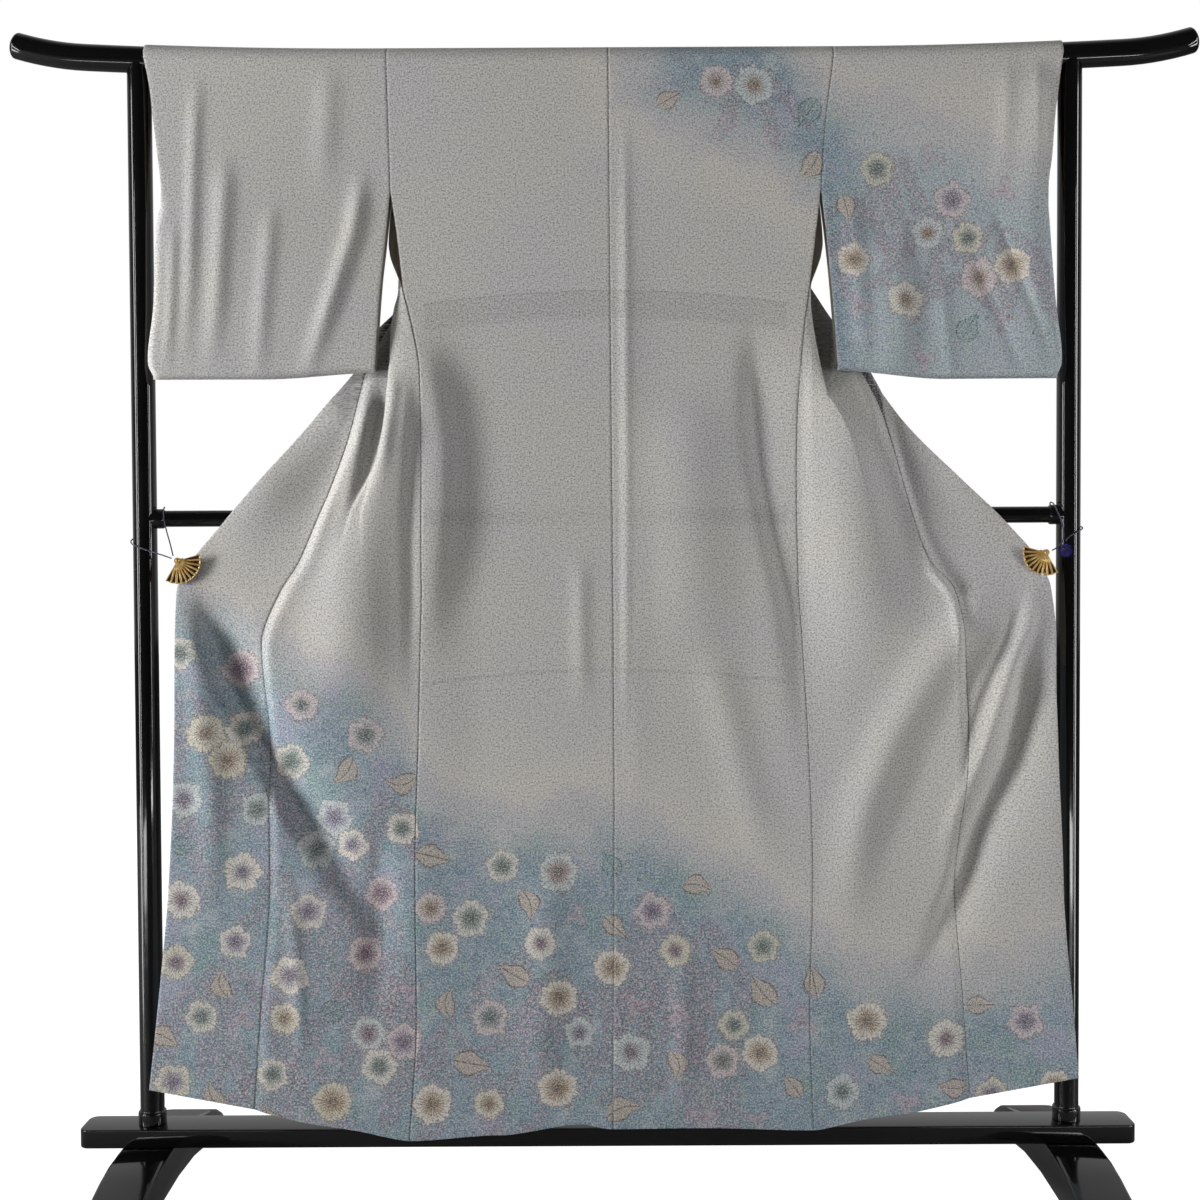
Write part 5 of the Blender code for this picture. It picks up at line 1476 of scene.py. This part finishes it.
def collar_inward(route):
    """For each point of the route, the step from the seam to the folded edge."""
    steps = []
    for k, point in enumerate(route):
        before, after = route[max(0, k - 1)], route[min(len(route) - 1, k + 1)]
        first = (point - before).normalized() if k else (after - point).normalized()
        second = (after - point).normalized() if k < len(route) - 1 else first
        along = first + second
        along.y = 0.0
        along.normalize()
        across = Vector((along.z, 0.0, -along.x))
        stretch = 1.0 / max(0.5, across.dot(Vector((first.z, 0.0, -first.x)).normalized()))
        steps.append(across * COLLAR_WIDTH * stretch)
    return steps


def collar_layout(across, along):
    route = collar_route()
    inward = np.array(collar_inward(route))
    line = np.array(route)
    at = along * (len(route) - 1)
    places = np.arange(len(route))
    start = np.column_stack([np.interp(at, places, line[:, k]) for k in range(3)])
    step = np.column_stack([np.interp(at, places, inward[:, k]) for k in range(3)])
    point = start + step * across[:, None]
    on_slope = abs(start[:, 0]) > NECK_HALF_WIDTH + 0.002
    slope_depth = column(DEPTHS, "edge", np.minimum(point[:, 2], ROD_HEIGHT)) + COLLAR_LEAN
    y = np.where(on_slope, slope_depth, point[:, 1])
    width = across * COLLAR_WIDTH
    return Layout(point[:, 0], y, point[:, 2], COLLAR_CUT_PLACE + width, at * COLLAR_CUT_STEP, width)


strip = weave("collar_silk", 16, 190, collar_layout, lambda x, z: np.full_like(x, NO_DYE), False)
dress("collar", hang(strip, (SILK, SILK), COLLAR_WALL))
print("collar band:", COLLAR_WIDTH, "m wide")

# %% [markdown]
# ## Black lacquer
# The stand is painted with many rubbed coats, so its gloss is deep but never quite flat: a slow ripple
# bends the reflections, and dust and handling leave a faint brown haze in places.

# %% Mix the lacquer


def lacquer_finish():
    make = new_finish("black_lacquer")
    place = make.add("ShaderNodeTexCoord")["Object"]
    haze = make.noise(place, 7.0, 4.0, 0.6)
    dust = make.noise(place, 160.0, 3.0, 0.7)
    colour = make.blend(make.fade(haze, 0.45, 0.75, 0.0, 0.6), tint(9, 9, 10), tint(22, 19, 18))
    colour = make.blend(make.fade(dust, 0.66, 0.78, 0.0, 0.10), colour, tint(120, 116, 110))
    rough = make.fade(haze, 0.3, 0.7, 0.07, 0.14) + make.fade(dust, 0.60, 0.80, 0.0, 0.10)
    ripple = make.noise(place, 18.0, 2.0) + make.noise(place, 380.0, 1.0) * 0.04
    return make.finish(Base_Color=colour, Roughness=rough, Coat_Weight=0.5, Coat_Roughness=0.04,
                       Normal=make.bump(ripple, 0.0010, 0.25))


LACQUER = lacquer_finish()
print("lacquer's steps:", len(LACQUER.node_tree.nodes))

# %% [markdown]
# ## The rod and the posts
# The rod is a turned bar bent in a shallow bow with upturned tips. The posts are turned too, each with a
# saddle cut in its top, in which the rod lies.

# %% Turn the rod and the posts
ROD_RADIUS = 0.019
ROD_END = 0.8685
POST_OUT, POST_RADIUS = 0.6825, 0.0175
BOARD_TOP, BOARD_BOTTOM = 0.1255, 0.098
DOME = 0.45                    # how far the rod's ends bulge, as a share of its radius
SHARP_EDGE = radians(40.0)


def move(bm, step, verts=None):
    bmesh.ops.translate(bm, vec=step, verts=verts or bm.verts)


def swing(bm, angle, axis, verts=None):
    turn = Matrix.Rotation(angle, 3, axis)
    bmesh.ops.rotate(bm, cent=(0.0, 0.0, 0.0), matrix=turn, verts=verts or bm.verts)


def place_piece(bm, name, finish):
    """The bmesh as a piece with its finish, smooth but for edges sharper than an angle."""
    mesh = bpy.data.meshes.new(name)
    bm.to_mesh(mesh)
    bm.free()
    mesh.materials.append(finish)
    mesh.shade_smooth()
    mesh.set_sharp_from_angle(angle=SHARP_EDGE)
    piece = bpy.data.objects.new(name, mesh)
    bpy.context.scene.collection.objects.link(piece)
    return piece


def stand_piece(bm, name, node, finish=None):
    piece = place_piece(bm, name, finish or LACQUER)
    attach(piece, "root")
    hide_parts(node)
    return piece


def spun(profile, steps):
    """A closed turned form from its radii and heights; a first or last radius of zero closes its pole."""
    bm = bmesh.new()
    ring = [bm.verts.new((radius, 0.0, height)) for radius, height in profile]
    edges = [bm.edges.new(pair) for pair in zip(ring, ring[1:])]
    bmesh.ops.spin(bm, geom=ring + edges, axis=(0.0, 0.0, 1.0), cent=(0.0, 0.0, 0.0), angle=2 * pi,
                   steps=steps, use_merge=True)
    bmesh.ops.remove_doubles(bm, verts=bm.verts, dist=1e-6)
    bmesh.ops.recalc_face_normals(bm, faces=bm.faces)
    return bm


def make_rod():
    """A straight bar with domed ends, then bent: each ring moves to the bowed middle and turns square."""
    bulge = ROD_RADIUS * DOME
    turns = [k * pi / 12 for k in range(7)]
    dome = [(ROD_RADIUS * sin(turn), ROD_END - bulge * (1 - cos(turn))) for turn in turns]
    stations = np.linspace(-ROD_END + bulge, ROD_END - bulge, 121)
    profile = [(r, -x) for r, x in dome[:-1]] + [(ROD_RADIUS, x) for x in stations]
    profile += [(r, x) for r, x in reversed(dome[:-1])]
    bm = spun(profile, 40)
    for vertex in bm.verts:
        x = vertex.co.z
        slope = atan2(float(rod_height(x + 0.001) - rod_height(x - 0.001)), 0.002)
        up = vertex.co.x
        level = float(rod_height(x))
        vertex.co = Vector((x - up * sin(slope), vertex.co.y, level + up * cos(slope)))
    bmesh.ops.recalc_face_normals(bm, faces=bm.faces)
    return stand_piece(bm, "rod", "top_rod")


def make_post(side, which):
    """Turned with a beaded collar at its foot; the top ring follows the rod's underside."""
    foot = BOARD_TOP + SEAM_GAP
    collar = foot + 0.02
    profile = ((0.0, foot), (0.0195, foot), (0.0205, foot + 0.001), (0.0205, collar - 0.0030),
               (0.0200, collar - 0.0014), (0.0190, collar - 0.0004), (0.0178, collar + 0.0002),
               (POST_RADIUS, collar + 0.0012), (POST_RADIUS, collar + 0.4), (POST_RADIUS, 1.3),
               (POST_RADIUS, ROD_HEIGHT - 0.02), (0.012, ROD_HEIGHT - 0.02), (0.006, ROD_HEIGHT - 0.02),
               (0.0, ROD_HEIGHT - 0.02))
    bm = spun(profile, 48)
    level = float(rod_height(POST_OUT)) - SEAM_GAP
    for vertex in bm.verts:
        if vertex.co.z > ROD_HEIGHT - 0.021:
            vertex.co.z = level - (ROD_RADIUS ** 2 - vertex.co.y ** 2) ** 0.5
    move(bm, (side * POST_OUT, 0.0, 0.0))
    return stand_piece(bm, "post_turned_" + which, "post_" + which)


STAND_PIECES = [make_rod()] + [make_post(side, which) for side, which in SIDES]
print("turned:", [piece.name for piece in STAND_PIECES])

# %% [markdown]
# ## Rail, board and feet
# A thin rail ties the posts at half height. At the bottom a flat board lies over two arched feet.

# %% Make the lower stand
RAIL_RADIUS, RAIL_FLARE = 0.012, 0.0145
BOARD_ENDS = (-0.784, 0.7785)
BOARD_HALF_DEPTH = 0.031
FOOT_WIDTH = 0.078


def round_off(bm, edges, radius, segments):
    bmesh.ops.bevel(bm, geom=edges, offset=radius, segments=segments, affect="EDGES", profile=0.5,
                    material=-1)


def make_rail():
    end = POST_OUT - POST_RADIUS + 0.0006
    flare = end - 0.011
    half = ((0.0, end), (RAIL_FLARE, end), (RAIL_FLARE, flare + 0.001), (RAIL_FLARE - 0.0004, flare),
            (RAIL_RADIUS + 0.0004, flare - 0.0016), (RAIL_RADIUS, flare - 0.0026), (RAIL_RADIUS, 0.3))
    profile = [(r, -x) for r, x in half] + [(r, x) for r, x in reversed(half)]
    bm = spun(profile, 32)
    swing(bm, pi / 2, "Y")
    for vertex in bm.verts:
        if abs(vertex.co.x) > end - 1e-4:
            reach = (POST_RADIUS + 0.0002) ** 2 - vertex.co.y ** 2
            vertex.co.x = (1 if vertex.co.x > 0 else -1) * (POST_OUT - max(reach, 0.0) ** 0.5)
    move(bm, (0.0, 0.0, RAIL_HEIGHT))
    return stand_piece(bm, "rail", "cross_rail")


def make_board():
    bm = bmesh.new()
    bmesh.ops.create_cube(bm, size=1.0)
    left, right = BOARD_ENDS
    bmesh.ops.scale(bm, vec=(right - left, 2 * BOARD_HALF_DEPTH, BOARD_TOP - BOARD_BOTTOM), verts=bm.verts)
    move(bm, ((left + right) / 2, 0.0, (BOARD_TOP + BOARD_BOTTOM) / 2))
    corners = [edge for edge in bm.edges if abs(edge.verts[0].co.z - edge.verts[1].co.z) > 1e-4]
    round_off(bm, corners, 0.014, 8)
    rims = [edge for edge in bm.edges if edge.calc_face_angle(0.0) > 1.0]
    round_off(bm, rims, 0.0022, 4)
    return stand_piece(bm, "board", "base_board")


FOOT_PROFILE = (               # depth and height of one half of the foot's outline, from its top middle
    (0.000, 0.0977), (0.048, 0.0977), (0.090, 0.0960), (0.130, 0.0895), (0.172, 0.0790), (0.205, 0.0720),
    (0.240, 0.0600), (0.270, 0.0440), (0.292, 0.0260), (0.299, 0.0120), (0.296, 0.0000), (0.236, 0.0000),
    (0.222, 0.0100), (0.160, 0.0280), (0.090, 0.0390), (0.000, 0.0430),
)


def make_foot(side, which):
    half = FOOT_WIDTH / 2
    outline = list(FOOT_PROFILE) + [(-y, z) for y, z in reversed(FOOT_PROFILE[1:-1])]
    bm = bmesh.new()
    face = bm.faces.new([bm.verts.new((-half, y, z)) for y, z in outline])
    pulled = bmesh.ops.extrude_face_region(bm, geom=[face])["geom"]
    moved = [item for item in pulled if isinstance(item, bmesh.types.BMVert)]
    move(bm, (FOOT_WIDTH, 0.0, 0.0), moved)
    bmesh.ops.recalc_face_normals(bm, faces=bm.faces)
    rims = [edge for edge in bm.edges if abs(edge.verts[0].co.x - edge.verts[1].co.x) < 1e-6
            and max(edge.verts[0].co.z, edge.verts[1].co.z) > 0.001]
    round_off(bm, rims, 0.005, 4)
    move(bm, (side * POST_OUT, 0.0, 0.0))
    return stand_piece(bm, "foot_arched_" + which, "foot_" + which)


STAND_PIECES += [make_rail(), make_board()] + [make_foot(side, which) for side, which in SIDES]
print("stand pieces:", len(STAND_PIECES))

# %% [markdown]
# ## Fan clips
# Each clip is a small folding fan cast in brass. Its ribs spread from the pivot, the pleated leaf joins
# them near the rim, and a jaw behind the fan grips the cloth.

# %% Cast the clips
FAN_ANGLES = (radians(16.0), radians(-121.0))
FAN_RIBS = 11
FAN_INNER, FAN_OUTER, FAN_SCALLOP = 0.0035, 0.0340, 0.0011
FAN_HEART = 0.0135             # the plain middle, from which the ribs spread
FAN_DEPTH = -0.0345
RIB_HALF_WIDTH = 0.0009
RIB_STEPS = 8                  # columns from one rib to the next
HUB = (                        # radius and depth of the pivot's outline, from its front
    (0.0, 0.0040), (0.0014, 0.0039), (0.0022, 0.0034), (0.0026, 0.0024), (0.0030, 0.0020), (0.0042, 0.0021),
    (0.0046, 0.0016), (0.0046, -0.0016), (0.0040, -0.0018), (0.0040, -0.0040), (0.0, -0.0040),
)
JAW = (0.034, 0.0018, 0.011)
JAW_LEAN = radians(40.0)
JAW_BEHIND = 0.0055            # from the cloth to the jaw's near face
SPACER_RADIUS = 0.0036


def brass_finish():
    """Worn gilt on the raised parts, and painted shade in dark brown, not metal, in the hollows between the
    ribs.
    """
    make = new_finish("gilt_with_painted_shade")
    place = make.add("ShaderNodeTexCoord")["Object"]
    cloud = make.noise(place, 90.0, 3.0, 0.6)
    scratch = make.noise(place, 900.0, 2.0, 0.6)
    raised = make.fade(make.attribute("raised")["Fac"], 0.30, 0.60)
    gilt = make.blend(make.fade(cloud, 0.35, 0.65), tint(206, 164, 92), tint(240, 206, 138))
    # painted shade: the hollows between the ribs are coloured dark brown
    colour = make.blend(raised, tint(44, 24, 10), gilt)
    return make.finish(Base_Color=colour, Metallic=raised * 0.62,
                       Roughness=make.fade(scratch, 0.3, 0.7, 0.26, 0.42),
                       Normal=make.bump(scratch, 0.0001, 0.4))


BRASS = brass_finish()


def fan_leaf(side):
    """The fan's pressed face: a grid bent round the pivot, with its ribs, middle and rim raised."""
    out, height = CLIP_HUBS[side]
    columns, rows = RIB_STEPS * (FAN_RIBS - 1), 22
    rib_step = abs(FAN_ANGLES[1] - FAN_ANGLES[0]) / (FAN_RIBS - 1)
    bm = bmesh.new()
    bmesh.ops.create_grid(bm, x_segments=columns, y_segments=rows, size=0.5)
    gilt = bm.verts.layers.float.new("raised")
    for vertex in bm.verts:
        i, j = vertex.co.x + 0.5, vertex.co.y + 0.5
        angle = FAN_ANGLES[0] + i * (FAN_ANGLES[1] - FAN_ANGLES[0])
        turn = i * (FAN_RIBS - 1)
        to_rib = abs(turn - round(turn)) * rib_step
        scallop = FAN_SCALLOP * (2 * to_rib / rib_step) ** 2
        radius = FAN_INNER + j * (FAN_OUTER - scallop - FAN_INNER)
        rib = float(ease((2.2 * RIB_HALF_WIDTH - to_rib * radius) / (1.2 * RIB_HALF_WIDTH)))
        heart = float(ease((FAN_HEART - radius) / 0.0012))
        edge = float(ease((radius - FAN_OUTER + scallop + 0.0018) / 0.0010))
        raised = 0.0015 * max(rib, 0.8 * heart, 0.6 * edge) + 0.0006 * heart * rib
        vertex[gilt] = max(rib, heart, edge)
        bulge = 0.0006 * (1.0 - j * j)
        vertex.co = Vector((side * (out - radius * cos(angle)), FAN_DEPTH + 0.0008 - raised - bulge,
                            height + radius * sin(angle)))
    bmesh.ops.recalc_face_normals(bm, faces=bm.faces)
    facing = sum(face.normal.y for face in bm.faces)
    if facing > 0.0:
        bmesh.ops.reverse_faces(bm, faces=bm.faces)
    bmesh.ops.solidify(bm, geom=bm.faces, thickness=0.0010)
    bmesh.ops.recalc_face_normals(bm, faces=bm.faces)
    return bm


def make_clip(side, which):
    bm = fan_leaf(side)
    out, height = CLIP_HUBS[side]
    back = float(column(DEPTHS, "edge", np.array([height]))[0]) + JAW_BEHIND
    knob = spun(HUB, 32)
    swing(knob, pi / 2, "X")
    move(knob, (side * out, FAN_DEPTH, height))
    gilt = knob.verts.layers.float.new("raised")
    for vertex in knob.verts:
        vertex[gilt] = 1.0
    knob_mesh = bpy.data.meshes.new("knob")
    knob.to_mesh(knob_mesh)
    knob.free()
    bm.from_mesh(knob_mesh)
    bpy.data.meshes.remove(knob_mesh)
    jaw = bmesh.ops.create_cube(bm, size=1.0)["verts"]
    bmesh.ops.scale(bm, vec=JAW, verts=jaw)
    move(bm, (JAW[0] / 2, 0.0, 0.0), jaw)
    swing(bm, JAW_LEAN if side == LEFT else pi - JAW_LEAN, "Y", jaw)
    move(bm, (side * out, back + 0.0012, height), jaw)
    spacer_end = back + 0.0016
    spacer = bmesh.ops.create_cone(bm, cap_ends=True, segments=20, radius1=SPACER_RADIUS,
                                   radius2=SPACER_RADIUS, depth=spacer_end - FAN_DEPTH)["verts"]
    swing(bm, pi / 2, "X", spacer)
    move(bm, (side * out, (FAN_DEPTH + spacer_end) / 2, height), spacer)
    gilt = bm.verts.layers.float["raised"]
    for vertex in jaw + spacer:
        vertex[gilt] = 1.0
    return stand_piece(bm, "fan_clip_" + which, "clip_" + which, BRASS)


CLIPS = [make_clip(side, which) for side, which in SIDES]
print("clips:", [clip.name for clip in CLIPS])

# %% [markdown]
# ## Ties and tassel
# A thin braided cord loops from each clip round its post. The right one ends in a small knotted tassel.

# %% Tie the cords
CORD_RADIUS = 0.001
CORD_ROUTES = {
    LEFT: (
        (0.6348, -0.0345, 0.9685), (0.643, -0.0305, 0.9712), (0.654, -0.0262, 0.9745),
        (0.669, -0.0226, 0.979), (0.6825, -0.02, 0.9835), (0.6945, -0.016, 0.988), (0.701, -0.0085, 0.992),
        (0.7028, 0.0, 0.9955), (0.7005, 0.0095, 0.9995), (0.6935, 0.0168, 1.004), (0.6825, 0.0202, 1.0095),
        (0.6715, 0.0195, 1.019), (0.664, 0.0175, 1.031), (0.6585, 0.0125, 1.0405), (0.6545, 0.004, 1.044),
        (0.6525, -0.006, 1.0425), (0.651, -0.0135, 1.0365), (0.6495, -0.017, 1.025),
        (0.645, -0.0205, 1.008), (0.6385, -0.0265, 0.99), (0.6328, -0.0325, 0.9722),
    ),
    RIGHT: (
        (0.649, -0.0345, 0.974), (0.6555, -0.0305, 0.977), (0.6612, -0.0268, 0.98), (0.668, -0.024, 0.9905),
        (0.669, -0.0215, 1.003), (0.666, -0.02, 1.018), (0.66, -0.019, 1.033), (0.657, -0.0125, 1.0425),
        (0.656, -0.002, 1.045), (0.6585, 0.01, 1.042), (0.664, 0.0175, 1.034), (0.672, 0.02, 1.023),
        (0.6825, 0.0204, 1.015), (0.694, 0.0165, 1.011), (0.701, 0.0085, 1.0095), (0.7028, 0.0, 1.008),
        (0.7005, -0.0095, 1.006), (0.694, -0.0165, 1.0025), (0.684, -0.0205, 0.9975),
        (0.676, -0.0225, 0.9925), (0.6715, -0.024, 0.988),
    ),
}
TASSEL_MIDDLE = Vector((0.6695, -0.0305, 0.9765))
TWISTS_A_METRE = 420
TASSEL_BALL = 0.0034
STRAND_SAG = Vector((0.0, 0.0, -0.0012))


def cord_finish(name, dark, light, tips):
    make = new_finish(name)
    u, v, _ = make.parts(make.cut())
    twist = make.calc("SINE", v * (2 * pi * TWISTS_A_METRE) + u * (4 * pi))
    colour = make.blend(make.fade(twist, -0.8, 0.8), dark, light)
    fuzz = make.noise(make.add("ShaderNodeTexCoord")["Object"], 1400.0, 2.0)
    colour = make.blend(make.fade(fuzz, 0.4, 0.8, 0.0, 0.3), colour, tips)
    return make.finish(Base_Color=colour, Roughness=make.fade(fuzz, 0.3, 0.7, 0.65, 0.85), Sheen_Weight=0.3,
                       Normal=make.bump(twist, 0.0003, 0.8))


CORD = cord_finish("braided_cord", tint(34, 28, 50), tint(72, 66, 90), tint(104, 98, 122))
POMPON = cord_finish("pompon_threads", tint(24, 4, 104), tint(40, 12, 140), tint(70, 50, 160))


def smooth_route(points, steps):
    """Points read from a smooth curve through a route's own points."""
    points = [Vector(point) for point in points]
    read = []
    for k in range(len(points) - 1):
        before, start = points[max(0, k - 1)], points[k]
        end, after = points[k + 1], points[min(len(points) - 1, k + 2)]
        for step in range(steps):
            t = step / steps
            bend = 2 * before - 5 * start + 4 * end - after
            sway = 3 * start - before - 3 * end + after
            read.append(0.5 * (2 * start + (end - before) * t + bend * t ** 2 + sway * t ** 3))
    return read + [points[-1]]


def cord_tube(route, radius):
    """A tube along a route, made from a grid rolled up round it, with its length kept on the UV map."""
    sides, rows = 10, len(route) - 1
    bm = bmesh.new()
    bmesh.ops.create_grid(bm, x_segments=sides, y_segments=rows, size=0.5)
    cut = bm.loops.layers.uv.new("cut")
    lengths = [0.0]
    for first, second in zip(route, route[1:]):
        lengths.append(lengths[-1] + (second - first).length)
    normal = Vector((0.0, 0.0, 1.0))
    frames = []
    for k, point in enumerate(route):
        tangent = (route[min(rows, k + 1)] - route[max(0, k - 1)]).normalized()
        normal = (normal - tangent * normal.dot(tangent)).normalized()
        frames.append((point, normal, tangent.cross(normal)))
    for face in bm.faces:
        for loop in face.loops:
            row = round((loop.vert.co.y + 0.5) * rows)
            loop[cut].uv = (loop.vert.co.x + 0.5, lengths[row])
    for vertex in bm.verts:
        row, turn = round((vertex.co.y + 0.5) * rows), 2 * pi * (vertex.co.x + 0.5)
        point, up, over = frames[row]
        vertex.co = point + radius * (up * cos(turn) + over * sin(turn))
    bmesh.ops.remove_doubles(bm, verts=bm.verts, dist=1e-6)
    bmesh.ops.holes_fill(bm, edges=[edge for edge in bm.edges if edge.is_boundary], sides=0)
    bmesh.ops.recalc_face_normals(bm, faces=bm.faces)
    return bm


for side, which in SIDES:
    route = smooth_route([(side * out, y, z) for out, y, z in CORD_ROUTES[side]], 6)
    stand_piece(cord_tube(route, CORD_RADIUS), "tie_cord_" + which, "tie_" + which, CORD)


def make_tassel():
    """A small pompon of cut threads: each face of a ball is drawn out into a strand of its own length."""
    bm = bmesh.new()
    bmesh.ops.create_icosphere(bm, subdivisions=4, radius=TASSEL_BALL)
    bmesh.ops.inset_individual(bm, faces=bm.faces, thickness=0.00002)
    strands = [face for face in bm.faces if len(face.verts) == 3]
    drawn = bmesh.ops.extrude_discrete_faces(bm, faces=strands)["faces"]
    for k, face in enumerate(drawn):
        middle = face.calc_center_median()
        length = 0.0052 + 0.0020 * sin(k * 2.4) * cos(k * 1.13) - 0.0018 * middle.normalized().z
        tip = middle + middle.normalized() * length + STRAND_SAG
        for vertex in face.verts:
            vertex.co = tip + (vertex.co - middle) * 0.7
    bm.loops.layers.uv.new("cut")
    move(bm, TASSEL_MIDDLE)
    return stand_piece(bm, "tassel_knot", "tassel", POMPON)


make_tassel()
print("cords and tassel tied")
